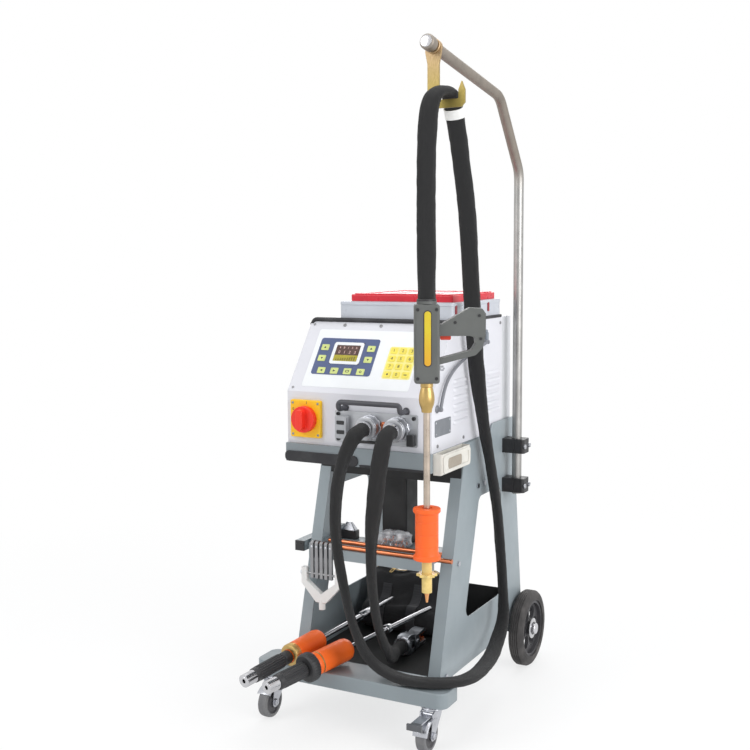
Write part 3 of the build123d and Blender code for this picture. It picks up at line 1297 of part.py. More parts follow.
def make_gun():
    body_x, body_y, body_h = GUN_BODY
    mid_z = GUN_TOP - body_h / 2
    edge = body_x / 2
    grip_face = Plane(
        origin=GUN_FRAME.origin, x_dir=GUN_FRAME.x_dir, z_dir=-GUN_FRAME.y_dir
    )
    bar_low = GUN_TOP - GRIP_BAR_DROP
    outer = [(edge + x, bar_low + z) for x, z in GRIP_OUTER]
    inner = [(edge + x, bar_low + z) for x, z in GRIP_INNER]
    guard = [(0, bar_low + z) for z in GUARD_FOOT]
    bar = [(0, bar_low), (0, outer[0][1])]
    with BuildPart(GUN_FRAME) as shell:
        with Locations((0, 0, mid_z)):
            Box(body_x, body_y, body_h)
        fillet(shell.edges(), GUN_EDGE_R)
        with BuildSketch(grip_face.offset(-GRIP_W / 2)):
            with BuildLine():
                Polyline(*bar, *outer, *guard, *inner, close=True)
            make_face()
        extrude(amount=GRIP_W)
        with Locations((0, 0, mid_z)):
            Box(
                body_x - 2 * GUN_WALL,
                body_y - 2 * GUN_WALL,
                body_h - 2 * GUN_WALL,
                mode=Mode.SUBTRACT,
            )
        trigger_bottom = bar_low - TRIGGER_PROUD
        slot_h = TRIGGER[2] + TRIGGER_TRAVEL + SOFT_GAP
        with Locations((TRIGGER_X, 0, trigger_bottom + slot_h / 2)):
            Box(TRIGGER[0] + 2 * SOFT_GAP, TRIGGER[1] + 2 * SOFT_GAP, slot_h, mode=Mode.SUBTRACT)
        with Locations((0, 0, GUN_TOP + GUN_WALL)):
            Cylinder(LEAD_D / 2 + GUN_WALL, 2 * GUN_WALL)
        with Locations((0, 0, GUN_TOP)):
            Cylinder(LEAD_D / 2 - GUN_WALL, 4 * GUN_WALL, mode=Mode.SUBTRACT)
        with Locations((0, 0, GUN_BOTTOM)):
            Cylinder(SHAFT_R, 4 * GUN_WALL, mode=Mode.SUBTRACT)
        parting = Plane(origin=GUN_FRAME.origin, x_dir=GUN_FRAME.x_dir, z_dir=GUN_FRAME.y_dir)
        split(bisect_by=parting, keep=Keep.BOTH)
    save(shell, "gun_shells")
    with BuildPart(GUN_FRAME) as trigger:
        with Locations((TRIGGER_X, 0, trigger_bottom + TRIGGER[2] / 2)):
            Box(*TRIGGER)
        fillet(trigger.edges().group_by(Axis.Z)[0], GUN_WALL)
    save(trigger, "gun_trigger")
    with BuildPart(GUN_FRAME) as nose:
        with Locations((0, 0, GUN_BOTTOM - NOSE_LENGTH / 2)):
            Cone(NOSE_R[1], NOSE_R[0], NOSE_LENGTH)
        with Locations((0, 0, GUN_BOTTOM - NOSE_LENGTH / 2)):
            Cylinder(SHAFT_R, NOSE_LENGTH, mode=Mode.SUBTRACT)
    save(nose, "gun_nose")
    shaft_top = GUN_BOTTOM + NOSE_LENGTH
    shaft_z, shaft_length = span(SHAFT_BOTTOM, shaft_top)
    with BuildPart(GUN_FRAME) as shaft:
        with Locations((0, 0, shaft_z)):
            Cylinder(SHAFT_R, shaft_length)
    save(shaft, "gun_shaft")
    hammer_z, hammer_h = span(*HAMMER_Z)
    with BuildPart(GUN_FRAME) as hammer:
        with Locations((0, 0, hammer_z)):
            Cylinder(HAMMER_R, hammer_h)
        for z in (HAMMER_Z[0] + HAMMER_FLANGE_T / 2, HAMMER_Z[1] - HAMMER_FLANGE_T / 2):
            with Locations((0, 0, z)):
                Cylinder(HAMMER_FLANGE_R, HAMMER_FLANGE_T)
        fillet(hammer.edges().group_by(Axis.Z)[-1], GUN_WALL)
        fillet(hammer.edges().group_by(Axis.Z)[0], GUN_WALL)
        with Locations((0, 0, hammer_z)):
            Cylinder(SHAFT_R + RUN, hammer_h, mode=Mode.SUBTRACT)
    save(hammer, "gun_hammer")
    chuck_top = HAMMER_Z[0] - SOFT_GAP
    chuck_z, chuck_h = span(CHUCK_BOTTOM, chuck_top)
    with BuildPart(GUN_FRAME) as chuck:
        with Locations((0, 0, chuck_z)):
            Cylinder(CHUCK_R, chuck_h)
        with BuildSketch(GUN_FRAME.offset(chuck_z)):
            for turn in (0, 45):
                Rectangle(STAR_R * 1.5, STAR_R * 1.5, rotation=turn)
        extrude(amount=STAR_T)
        with Locations((0, 0, (SHAFT_BOTTOM + chuck_top) / 2)):
            Cylinder(SHAFT_R, chuck_top - SHAFT_BOTTOM, mode=Mode.SUBTRACT)
        with Locations((0, 0, (TIP_BOTTOM + CHUCK_BOTTOM) / 2)):
            Cone(CHUCK_R / 5, CHUCK_R / 2, CHUCK_BOTTOM - TIP_BOTTOM)
    save(chuck, "gun_chuck")


# Leads

def route_radii(points):
    """Gives each corner the largest arc that 0.45 of its shorter run allows."""
    corners = [Vector(*p) for p in points]
    radii = []
    for before, here, after in zip(corners, corners[1:], corners[2:]):
        turn = (here - before).get_angle(after - here)
        run = min((here - before).length, (after - here).length)
        radii.append(0.45 * run / math.tan(math.radians(turn) / 2))
    return radii


def make_lead(name, points):
    radii = route_radii(points)
    with BuildPart() as lead:
        with BuildLine() as line:
            FilletPolyline(*points, radius=radii)
        start = line.wire() ^ 0
        with BuildSketch(Plane(origin=start.position, z_dir=start.z_axis.direction)):
            Circle(LEAD_D / 2)
        sweep()
    length = line.wire().length
    share = lead.part.volume / (math.pi * (LEAD_D / 2) ** 2 * length)
    print(name, "length", round(length, 1), "volume share", round(share, 5))
    print(name, "radii", [round(r) for r in radii])
    save(lead, name)


def make_earth_clamp():
    end = EARTH_LEAD[-1]
    wide, long, high = CLAMP_BODY
    jaw = wide / 3
    floor_z = BIN_FLOOR + SEAT
    side = Plane.YZ.offset(end[0] - wide / 2)
    with BuildPart() as clamp:
        with BuildSketch(side):
            with BuildLine():
                Polyline(
                    (end[1], floor_z),
                    (end[1] + long, floor_z),
                    (end[1] + long, floor_z + jaw),
                    (end[1] + long / 2, floor_z + jaw),
                    (end[1] + long / 2, floor_z + high - jaw),
                    (end[1] + long, floor_z + high - jaw),
                    (end[1] + long, floor_z + high),
                    (end[1], floor_z + high),
                    close=True,
                )
            make_face()
        extrude(amount=wide)
        fillet(clamp.edges().filter_by(Axis.X), THIN_SHEET)
    save(clamp, "earth_clamp")


# Loose slide hammers

def puller_ends(number):
    """Gives a slide hammer's two ends, with its sleeve on the beam and its rod on the bag."""
    front_x, front_y = PULLER_FRONTS[number]
    rear_x, rear_y = PULLER_REARS[number]
    sleeve_run = PULLER_SLEEVE_START[number] + PULLER_SLEEVE_EDGE
    reach = math.hypot(rear_x - front_x, rear_y - front_y)
    sleeve_y = front_y + sleeve_run * (rear_y - front_y) / reach
    beam_y = max(sleeve_y, BEAM_FRONT_Y + SHEET)
    bag_y = TOOL_BAG_Y[0]
    rise = 0.0
    for _ in range(6):
        stretch = math.hypot(1.0, rise)
        beam_z = BEAM_TOP + (PULLER_SLEEVE_R + SOFT_GAP) * stretch
        bag_z = TOOL_BAG_STEP[0] + (PULLER_ROD_R + SOFT_GAP) * stretch
        rise = (bag_z - beam_z) / (bag_y - beam_y)
    front = Vector(front_x, front_y, beam_z + rise * (front_y - beam_y))
    rear = Vector(rear_x, rear_y, beam_z + rise * (rear_y - beam_y))
    return front, rear


def puller_frame(number):
    """Gives the plane at a slide hammer's front end, facing along its rod."""
    front, rear = puller_ends(number)
    return Plane(origin=front, x_dir=(1, 0, 0), z_dir=rear - front)


def make_pullers():
    with BuildPart() as rods:
        for number in range(2):
            frame = puller_frame(number)
            front, rear = puller_ends(number)
            reach = (rear - front).length
            print("slide hammer", number + 1, tuple(front), tuple(rear))
            with BuildSketch(frame):
                Circle(PULLER_HEAD_R)
            extrude(amount=PULLER_HEAD)
            with BuildSketch(frame):
                Circle(PULLER_ROD_R)
            extrude(amount=reach)
            with BuildSketch(frame):
                Circle(PULLER_BORE_R)
            extrude(amount=PULLER_BORE, mode=Mode.SUBTRACT)
    save(rods, "puller_rods")
    with BuildPart() as grips:
        for number in range(2):
            frame = puller_frame(number).offset(PULLER_HEAD)
            with BuildSketch(frame):
                Circle(PULLER_GRIP_R[number])
                Circle(PULLER_ROD_R, mode=Mode.SUBTRACT)
            extrude(amount=PULLER_GRIP_LENGTH[number])
            with BuildSketch(frame.offset(PULLER_GRIP_LENGTH[number])):
                Circle(PULLER_COLLAR_R[number])
                Circle(PULLER_ROD_R, mode=Mode.SUBTRACT)
            extrude(amount=PULLER_COLLAR)
    save(grips, "puller_grips")
    for number in range(2):
        with BuildPart() as sleeve:
            with BuildSketch(puller_frame(number).offset(PULLER_SLEEVE_START[number])):
                Circle(PULLER_SLEEVE_R)
            extrude(amount=PULLER_SLEEVE_LENGTH[number])
            fillet(sleeve.edges().filter_by(GeomType.CIRCLE), PULLER_SLEEVE_EDGE)
            with BuildSketch(puller_frame(number).offset(PULLER_SLEEVE_START[number])):
                Circle(PULLER_ROD_R + RUN)
            extrude(amount=PULLER_SLEEVE_LENGTH[number], mode=Mode.SUBTRACT)
        save(sleeve, f"puller_sleeve_{number + 1}")


# Things kept on the shelf and in the bin

def make_stored_things():
    with BuildPart() as rods:
        for y, ends in zip(SHELF_ROD_Y, SHELF_ROD_X):
            rod_x, rod_length = span(*ends)
            with Locations((rod_x, y, SHELF_Z + SHELF_ROD_R)):
                Cylinder(SHELF_ROD_R, rod_length, rotation=(0, 90, 0))
    save(rods, "copper_rods")
    with BuildPart() as parts_bag:
        bag_z = SHELF_Z + SOFT_GAP + PARTS_BAG[2] / 2
        with Locations((PARTS_BAG_X, PARTS_BAG_Y, bag_z)):
            Box(*PARTS_BAG)
        fillet(parts_bag.edges().group_by(Axis.Z)[-1], PARTS_BAG[2] / 3)
    save(parts_bag, "parts_bag")
    bag_floor = BIN_FLOOR + SOFT_GAP
    with BuildPart() as tool_bag:
        with BuildSketch(Plane.YZ.offset(TOOL_BAG_X[0])):
            with BuildLine():
                Polyline(
                    (TOOL_BAG_Y[0], bag_floor),
                    (TOOL_BAG_Y[0], TOOL_BAG_STEP[0]),
                    (TOOL_BAG_Y[1], TOOL_BAG_STEP[1]),
                    (TOOL_BAG_Y[2], TOOL_BAG_TOP),
                    (TOOL_BAG_REAR_Y, TOOL_BAG_TOP),
                    (TOOL_BAG_REAR_Y, bag_floor),
                    close=True,
                )
            make_face()
        extrude(amount=TOOL_BAG_X[1] - TOOL_BAG_X[0])
        fillet(tool_bag.edges().group_by(Axis.Z)[-1], COLUMN / 6)
    save(tool_bag, "tool_bag")


make_side_plates()
make_lower_bin()
make_front_beam()
make_top_tray()
make_mid_shelf()
make_centre_column()
make_side_pocket()
make_frame_bolts()
make_rear_axle()
make_rear_wheel("right", 1)
make_rear_wheel("left", -1)
make_caster_plates()
make_caster("right", 1, True)
make_caster("left", -1, False)
make_caster_brake()
make_mast()
make_mast_clamps()
make_hook_bar()
make_end_caps()
make_comb_puller()
make_front_chassis()
make_housing_cover()
make_rear_panel()
make_console()
make_main_switch()
make_socket_panel()
make_inner_pieces()
make_case()
make_gun()
make_lead("gun_lead", GUN_LEAD)
make_lead("earth_lead", EARTH_LEAD)
make_earth_clamp()
make_pullers()
make_stored_things()
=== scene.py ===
"""Looks of the dent pulling welder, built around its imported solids, in metres and in their frame."""
import math
import random

import bmesh
import bpy
from mathutils import Matrix, Vector, noise


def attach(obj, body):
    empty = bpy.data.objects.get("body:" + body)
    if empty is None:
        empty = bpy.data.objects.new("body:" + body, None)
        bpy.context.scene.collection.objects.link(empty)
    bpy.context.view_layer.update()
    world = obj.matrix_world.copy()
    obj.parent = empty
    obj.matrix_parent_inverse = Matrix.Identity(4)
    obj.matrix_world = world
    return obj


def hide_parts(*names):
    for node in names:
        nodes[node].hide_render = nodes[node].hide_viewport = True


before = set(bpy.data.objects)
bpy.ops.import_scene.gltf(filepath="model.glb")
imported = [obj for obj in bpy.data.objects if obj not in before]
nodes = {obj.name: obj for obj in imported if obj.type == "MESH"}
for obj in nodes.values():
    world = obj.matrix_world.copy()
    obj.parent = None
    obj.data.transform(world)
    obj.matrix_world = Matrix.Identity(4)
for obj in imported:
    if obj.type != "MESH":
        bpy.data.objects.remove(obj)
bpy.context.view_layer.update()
scene = bpy.context.scene
look = {}
MM = 0.001
ROOT = "trolley"
SIDES = ((1, "right"), (-1, "left"))


# Places and directions, with all sizes in millimetres

def mm(*values):
    return Vector(values) * MM


def facing(origin, z_axis, x_hint=(1, 0, 0)):
    """Gives the placement at origin, in metres, whose z axis points along z_axis."""
    z = Vector(z_axis).normalized()
    x = Vector(x_hint) - z * Vector(x_hint).dot(z)
    x.normalize()
    place = Matrix((x, z.cross(x), z)).transposed().to_4x4()
    place.translation = Vector(origin)
    return place


def sideways(side, *point):
    """Gives the placement at a point that faces the part's right, or its left for a side of -1."""
    return facing(mm(*point), (side, 0, 0), (0, 1, 0))


def frontward(*point):
    return facing(mm(*point), (0, -1, 0))


def upward(*point):
    return facing(mm(*point), (0, 0, 1))


def shifted(place, x, y, z=0.0):
    """Moves a placement along its own axes."""
    return place @ Matrix.Translation(mm(x, y, z))


# Shapes, each given as rings of points and what becomes of its ends

CAPPED = "capped"
JOINED = "joined"
OPEN = "open"
NUT_STEPS = 24


def round_rect(width, height, radius, centre=(0, 0), steps=5):
    """Gives the outline of a rectangle with round corners."""
    points = []
    for side_x, side_y, start in ((1, 1, 0), (-1, 1, 90), (-1, -1, 180), (1, -1, 270)):
        for k in range(steps + 1):
            turn = math.radians(start + 90 * k / steps)
            x = centre[0] + side_x * (width / 2 - radius) + radius * math.cos(turn)
            y = centre[1] + side_y * (height / 2 - radius) + radius * math.sin(turn)
            points.append((x, y))
    return points


def slab(outline, low, high, place):
    """Raises an outline of (x, y) points from low to high over a place."""
    return [[place @ mm(x, y, z) for x, y in outline] for z in (low, high)], CAPPED


def plate(width, height, radius, low, high, place, centre=(0, 0), steps=5):
    """Raises a rectangle with round corners."""
    return slab(round_rect(width, height, radius, centre, steps), low, high, place)


def plates(place, rows):
    """Raises a plate over one place for each row of width, height, radius, low, high and centre."""
    return [plate(*row[:5], place, *row[5:]) for row in rows]


def border(outer, inner, low, high, place):
    """Raises the band between two rectangles with round corners."""
    levels = ((outer, low), (outer, high), (inner, high), (inner, low))
    return [[place @ mm(x, y, z) for x, y in round_rect(*size)] for size, z in levels], JOINED


def ring_at(place, reaches, along):
    """Gives a ring of points about a place's z axis, each at its own distance."""
    turns = [math.tau * k / len(reaches) for k in range(len(reaches))]
    return [place @ mm(r * math.cos(t), r * math.sin(t), along) for r, t in zip(reaches, turns)]


def lathe(profile, place, steps=48, ends=JOINED, flutes=0, depth=0.0):
    """Turns (radius, along) pairs about the place's z axis, with flutes if asked."""
    dips = [depth * (0.5 - 0.5 * math.cos(flutes * math.tau * k / steps)) for k in range(steps)]
    rings = []
    for radius, along in profile:
        reaches = [radius - dip for dip in dips] if radius > 0 else [0]
        rings.append(ring_at(place, reaches, along))
    return rings, ends


def mirrored(half, total=0.0, middle=()):
    """Gives a profile of one half, what lies in the middle and the half's mirror image."""
    return [*half, *middle, *((radius, total - along) for radius, along in half[::-1])]


def screw(place, radius, height):
    """A cap screw with a socket in its head."""
    socket, floor = 0.5 * radius, 0.4 * height
    head = [(radius, 0), (radius, 0.75 * height), (0.86 * radius, height)]
    return lathe([*head, (socket, height), (socket, floor), (0, floor)], place, 24, OPEN)


def screws(place, spots, lift, radius, height):
    """Sets equal screws at spots over one place, lifted off it or sunk into it."""
    return [screw(shifted(place, x, y, lift), radius, height) for x, y in spots]


def hex_nut(place, radius, height, bore):
    """A six-sided nut with a chamfered face and a hole."""
    sixth = math.pi / 6
    turns = [math.tau * k / NUT_STEPS for k in range(NUT_STEPS)]
    flats = [radius * math.cos(sixth) / math.cos(turn % (2 * sixth) - sixth) for turn in turns]
    levels = ((0, 1.0), (0.8 * height, 1.0), (height, 0.9))
    rings = [ring_at(place, [share * flat for flat in flats], level) for level, share in levels]
    return rings + [ring_at(place, [bore] * NUT_STEPS, level) for level in (height, 0)], JOINED


def frames_along(line):
    """Gives each point's run along a line, the point, its direction, two axes across it and its bend."""
    across = (line[1] - line[0]).orthogonal().normalized()
    run = 0.0
    rows = []
    for k, point in enumerate(line):
        before = line[max(k - 1, 0)]
        after = line[min(k + 1, len(line) - 1)]
        run += (point - before).length
        ahead = (after - before).normalized()
        across = (across - ahead * across.dot(ahead)).normalized()
        bend = Vector((0, 0, 0))
        if 0 < k < len(line) - 1:
            turn = (after - point).normalized() - (point - before).normalized()
            bend = turn / max(0.5 * (after - before).length, 1e-6)
        rows.append((run, point, ahead, across, ahead.cross(across), bend))
    return rows


def tube(line, radius, steps):
    """Sweeps a round section along points, with closed ends."""
    turns = [math.tau * k / steps for k in range(steps)]
    rings = []
    for _, point, _, across, other, _ in frames_along(line):
        rings.append([point + (across * math.cos(t) + other * math.sin(t)) * radius * MM for t in turns])
    return rings, CAPPED


def mesh_of(curve):
    """Gives a curve's mesh and drops the curve."""
    holder = bpy.data.objects.new("holder", curve)
    mesh = bpy.data.meshes.new_from_object(holder)
    bpy.data.objects.remove(holder)
    bpy.data.curves.remove(curve)
    return mesh


def smooth_line(points, steps=14, closed=False):
    """Gives the points of a spline along others."""
    curve = bpy.data.curves.new("line", "CURVE")
    curve.dimensions = "3D"
    curve.resolution_u = steps
    spline = curve.splines.new("NURBS")
    spline.points.add(len(points) - 1)
    for point, place in zip(spline.points, points):
        point.co = (*place, 1)
    spline.order_u = 3
    spline.use_cyclic_u = closed
    spline.use_endpoint_u = not closed
    mesh = mesh_of(curve)
    line = [vertex.co.copy() for vertex in mesh.vertices]
    bpy.data.meshes.remove(mesh)
    return line


def figures(text, size, place, thick):
    """Plain figures that stand up from a place, as a mesh."""
    curve = bpy.data.curves.new("figures", "FONT")
    curve.body = text
    curve.size = size * MM
    curve.align_x = "CENTER"
    curve.align_y = "CENTER"
    curve.extrude = thick * MM / 2
    mesh = mesh_of(curve)
    mesh.transform(place)
    return mesh


# Pieces

def join_rings(bm, low, high):
    """Joins two rings of points, either of which may be one point."""
    count = max(len(low), len(high))
    for k in range(count):
        following = (k + 1) % count
        corners = [low[k % len(low)], low[following % len(low)]]
        corners += [high[following % len(high)], high[k % len(high)]]
        bm.faces.new(list(dict.fromkeys(corners)))


def skin(bm, rings, ends):
    made = [[bm.verts.new(point) for point in ring] for ring in rings]
    following = made[1:] + made[:1] if ends == JOINED else made[1:]
    for low, high in zip(made, following):
        join_rings(bm, low, high)
    if ends == CAPPED:
        bm.faces.new(made[0][::-1])
        bm.faces.new(made[-1])


def piece(name, finish, *shapes, body=ROOT, slot="", bevel=0.0, angle=38.0, instead_of=None):
    """Makes a piece of shapes, with smooth faces and rounded edges, and lets it ride on a body.

    Its slot argument is not used.
    """
    bm = bmesh.new()
    for shape in shapes:
        if isinstance(shape, bpy.types.Mesh):
            bm.from_mesh(shape)
            bpy.data.meshes.remove(shape)
        else:
            skin(bm, *shape)
    bmesh.ops.recalc_face_normals(bm, faces=bm.faces)
    mesh = bpy.data.meshes.new(name)
    bm.to_mesh(mesh)
    bm.free()
    mesh.shade_smooth()
    mesh.set_sharp_from_angle(angle=math.radians(angle))
    mesh.materials.append(look[finish])
    made = bpy.data.objects.new(name, mesh)
    scene.collection.objects.link(made)
    if bevel:
        rounding = made.modifiers.new("edges", "BEVEL")
        rounding.width = bevel * MM
        rounding.segments = 2
        rounding.limit_method = "ANGLE"
        rounding.angle_limit = math.radians(angle)
    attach(made, body)
    if instead_of:
        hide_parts(instead_of)
    return made


# Materials

def rgb(red, green, blue):
    """Gives a colour, written as a screen shows it, as the renderer's linear one."""
    shares = (value / 255 for value in (red, green, blue))
    return (*(v / 12.92 if v <= 0.04045 else ((v + 0.055) / 1.055) ** 2.4 for v in shares), 1.0)


def shade(colour, share):
    """A linear colour made lighter or darker."""
    return (*(min(1.0, c * share) for c in colour[:3]), 1.0)


class Shader:
    """The nodes of one material, which end in a Principled shader."""

    def __init__(self, name, **sockets):
        self.material = bpy.data.materials.new(name)
        self.material.use_nodes = True
        self.tree = self.material.node_tree
        self.end = self.tree.nodes["Principled BSDF"]
        for socket, value in sockets.items():
            self.end.inputs[socket.replace("_", " ")].default_value = value

    def feed(self, socket, value):
        if isinstance(value, bpy.types.NodeSocket):
            self.tree.links.new(value, socket)
        else:
            socket.default_value = value

    def node(self, kind, inputs=None, **settings):
        made = self.tree.nodes.new("ShaderNode" + kind)
        for name, value in settings.items():
            setattr(made, name, value)
        for socket, value in (inputs or {}).items():
            self.feed(made.inputs[socket], value)
        return made

    def place(self, stretch=None):
        """The point in the part's own frame, stretched along its axes if asked."""
        out = self.node("TexCoord").outputs["Object"]
        if stretch:
            out = self.node("Mapping", {"Vector": out, "Scale": stretch}).outputs[0]
        return out

    def noise(self, scale, detail=3.0, stretch=None):
        inputs = {"Vector": self.place(stretch), "Scale": scale, "Detail": detail}
        return self.node("TexNoise", inputs).outputs["Fac"]

    def span(self, value, low, high, to_low=0.0, to_high=1.0):
        names = ("Value", "From Min", "From Max", "To Min", "To Max")
        return self.node("MapRange", dict(zip(names, (value, low, high, to_low, to_high)))).outputs[0]

    def clouds(self, scale, detail=3.0, low=0.3, high=0.7, to_low=0.0, to_high=1.0, stretch=None):
        """Noise that is spread between two values."""
        return self.span(self.noise(scale, detail, stretch), low, high, to_low, to_high)

    def math(self, operation, first, second):
        return self.node("Math", {0: first, 1: second}, operation=operation).outputs[0]

    def mix(self, share, first, second):
        return self.node("Mix", {0: share, 6: first, 7: second}, data_type="RGBA").outputs[2]

    def varied(self, share, colour, less, more):
        """A colour between a darker and a lighter shade of it."""
        return self.mix(share, shade(colour, 1.0 - less), shade(colour, 1.0 + more))

    def rubbed(self, base, edges, wear, worn):
        """A base whose edges have another colour where they are worn."""
        return self.mix(self.math("MULTIPLY", edges, wear), base, worn)

    def rounded(self, radius):
        """The normal with edges rounded over a radius in millimetres, and where they are."""
        normal = self.node("Bevel", {"Radius": radius * MM}, samples=4).outputs[0]
        flat = self.node("NewGeometry").outputs["Normal"]
        turn = self.node("VectorMath", {0: normal, 1: flat}, operation="DOT_PRODUCT")
        return normal, self.span(turn.outputs["Value"], 0.985, 0.8)

    def axes(self, vector):
        return self.node("SeparateXYZ", {0: vector}).outputs

    def bump(self, height, depth, normal=None):
        """A bump of a height's full depth in millimetres."""
        inputs = {"Height": height, "Distance": depth * MM, "Strength": 1.0}
        if normal is not None:
            inputs["Normal"] = normal
        return self.node("Bump", inputs).outputs[0]

    def done(self, colour, roughness, normal, metallic=None):
        wanted = {"Base Color": colour, "Roughness": roughness, "Normal": normal, "Metallic": metallic}
        for socket, value in wanted.items():
            if value is not None:
                self.feed(self.end.inputs[socket], value)
        return self.material


def painted(name, colour, worn, roughness=0.42, dust=0.10):
    """Powder coat: fine peel, soft patches, dust, and a paler line where edges are rubbed."""
    s = Shader(name, Coat_Weight=0.08, Coat_Roughness=0.3)
    base = s.varied(s.clouds(7.0, 4.0), colour, dust, 0.4 * dust)
    base = s.mix(s.clouds(420.0, 2.0, 0.62, 0.75, 0.0, 0.25), base, shade(colour, 0.8))
    normal, edges = s.rounded(0.8)
    base = s.rubbed(base, edges, s.clouds(60.0, 4.0, 0.42, 0.62), worn)
    rough = s.clouds(24.0, to_low=roughness - 0.07, to_high=roughness + 0.1)
    return s.done(base, rough, s.bump(s.noise(1100.0, 2.0), 0.03, normal))


def shade_lined(name, colour, worn, shade_lining):
    """Painted sheet whose upper face and rear wall's inner face are painted near black with pale scuffs:
    painted shade inside the bin.
    """
    s = Shader(name)
    normal, edges = s.rounded(0.8)
    way = s.axes(s.node("NewGeometry").outputs["True Normal"])
    at_rear = s.math("GREATER_THAN", s.axes(s.place())[1], 0.1)
    ahead = s.math("MULTIPLY", s.math("LESS_THAN", way[1], -0.5), at_rear)
    inside = s.math("MAXIMUM", s.math("GREATER_THAN", way[2], 0.5), ahead)
    paint = s.varied(s.clouds(7.0, 4.0), colour, 0.1, 0.04)
    paint = s.rubbed(paint, edges, s.clouds(60.0, 4.0, 0.42, 0.62), worn)
    scuffs = s.clouds(34.0, 5.0, 0.5, 0.74, 0.0, 0.5, (1, 0.25, 1))
    base = s.mix(inside, paint, s.mix(scuffs, shade_lining, shade(shade_lining, 2.2)))
    return s.done(base, s.span(inside, 0, 1, 0.44, 0.78), s.bump(s.noise(900.0, 2.0), 0.04, normal))


def moulded(name, colour, roughness=0.5, grain=0.04, patch=0.12):
    """Moulded plastic: fine leather-like grain, handling marks and slightly paler edges."""
    s = Shader(name)
    base = s.varied(s.clouds(16.0, 4.0), colour, patch, 0.5 * patch)
    normal, edges = s.rounded(0.6)
    pale = (*(0.75 * c + 0.15 for c in colour[:3]), 1.0)
    base = s.rubbed(base, edges, s.clouds(90.0, 3.0, 0.4, 0.65, 0.0, 0.6), pale)
    cells = s.node("TexVoronoi", {"Vector": s.place(), "Scale": 1400.0}).outputs["Distance"]
    rough = s.clouds(45.0, to_low=roughness - 0.08, to_high=roughness + 0.1)
    return s.done(base, rough, s.bump(cells, grain, normal))


def metal(name, colour, roughness, stretch, marks=0.15, top=None):
    """Bare or plated metal: streaks, smudges, bright edges, and another colour higher up if given."""
    s = Shader(name, Metallic=1.0)
    streaks = s.noise(900.0, 2.0, stretch)
    smudges = s.clouds(30.0, 5.0, 0.35)
    base = s.varied(smudges, colour, marks, 0.3 * marks)
    rough = s.span(smudges, 0, 1, roughness, roughness + 0.1)
    rough = s.math("ADD", s.span(streaks, 0.3, 0.7, -0.08, 0.1), rough)
    if top:
        above, low, high, duller = top
        climb = s.span(s.axes(s.place())[2], low * MM, high * MM)
        base = s.mix(climb, base, s.varied(smudges, rgb(*above), marks, 0.3 * marks))
        rough = s.math("ADD", rough, s.span(climb, 0, 1, 0, duller))
    base = s.mix(s.span(streaks, 0.35, 0.7, 0.0, 0.35), base, shade(colour, 0.7))
    normal, edges = s.rounded(0.5)
    base = s.rubbed(base, edges, s.span(smudges, 0, 1, 0.3, 0.8), shade(colour, 1.25))
    return s.done(base, rough, s.bump(streaks, 0.006, normal))


def rubber(name, colour, dust, roughness=0.72):
    """Rubber: dull, with pale dust lying in patches and a fine cast grain."""
    s = Shader(name)
    base = s.mix(s.clouds(22.0, 5.0, 0.45, 0.75, 0.0, 0.55), colour, dust)
    normal, edges = s.rounded(0.8)
    base = s.rubbed(base, edges, s.clouds(70.0, 3.0, 0.4, 0.6, 0.0, 0.5), dust)
    rough = s.clouds(35.0, to_low=roughness - 0.1, to_high=roughness + 0.1)
    return s.done(base, rough, s.bump(s.noise(1600.0, 2.0), 0.05, normal))


def by_place(name, index, limit, low, high, roughness, high_metal=None):
    """Two finishes in one piece, the first below a limit along one axis and the second above it."""
    s = Shader(name)
    side = s.math("GREATER_THAN", s.axes(s.place())[index], limit * MM)
    clouds = s.clouds(40.0, 4.0)
    base = s.mix(side, s.varied(clouds, low, 0.12, 0.06), s.varied(clouds, high, 0.12, 0.06))
    normal, edges = s.rounded(0.5)
    base = s.rubbed(base, edges, s.span(clouds, 0, 1, 0.1, 0.4), rgb(225, 222, 215))
    rough = s.span(clouds, 0, 1, roughness - 0.08, roughness + 0.08)
    shine = s.span(side, 0, 1, 0.0, high_metal) if high_metal else None
    return s.done(base, rough, s.bump(s.noise(1300.0, 2.0), 0.02, normal), shine)


def woven(name, dark, light, around=56):
    """A braided sleeve over a lead: threads that cross, so many round it, and worn high spots."""
    s = Shader(name, Sheen_Weight=0.08, Sheen_Roughness=0.5, Specular_IOR_Level=0.3)
    uv = s.axes(s.node("UVMap").outputs[0])
    turn, run = (s.math("MULTIPLY", uv[k], math.tau * around) for k in (0, 1))
    waves = [s.math("SINE", s.math(way, turn, run), 0.0) for way in ("ADD", "SUBTRACT")]
    threads = s.span(s.math("MULTIPLY", *waves), -1, 1)
    wear = s.clouds(26.0, 5.0, 0.4, 0.75)
    base = s.mix(s.math("MULTIPLY", wear, 0.35), s.mix(threads, dark, light), shade(light, 1.4))
    return s.done(base, s.span(wear, 0, 1, 0.66, 0.82), s.bump(threads, 0.5))


def cloth(name, dark, light, threads=700.0, sheen=0.3):
    """Heavy woven cloth, whose threads need no UVs."""
    s = Shader(name, Sheen_Weight=sheen, Sheen_Roughness=0.5)
    waves = []
    for direction in "XYZ":
        inputs = {"Vector": s.place(), "Scale": threads / 3.2, "Distortion": 0.6}
        waves.append(s.node("TexWave", inputs, bands_direction=direction).outputs["Fac"])
    weave = s.math("MULTIPLY", s.math("ADD", waves[0], waves[1]), waves[2])
    clouds = s.clouds(18.0, 4.0)
    base = s.mix(s.math("MULTIPLY", clouds, 0.35), s.mix(weave, dark, light), shade(light, 1.4))
    return s.done(base, s.span(clouds, 0, 1, 0.7, 0.88), s.bump(weave, 0.25))


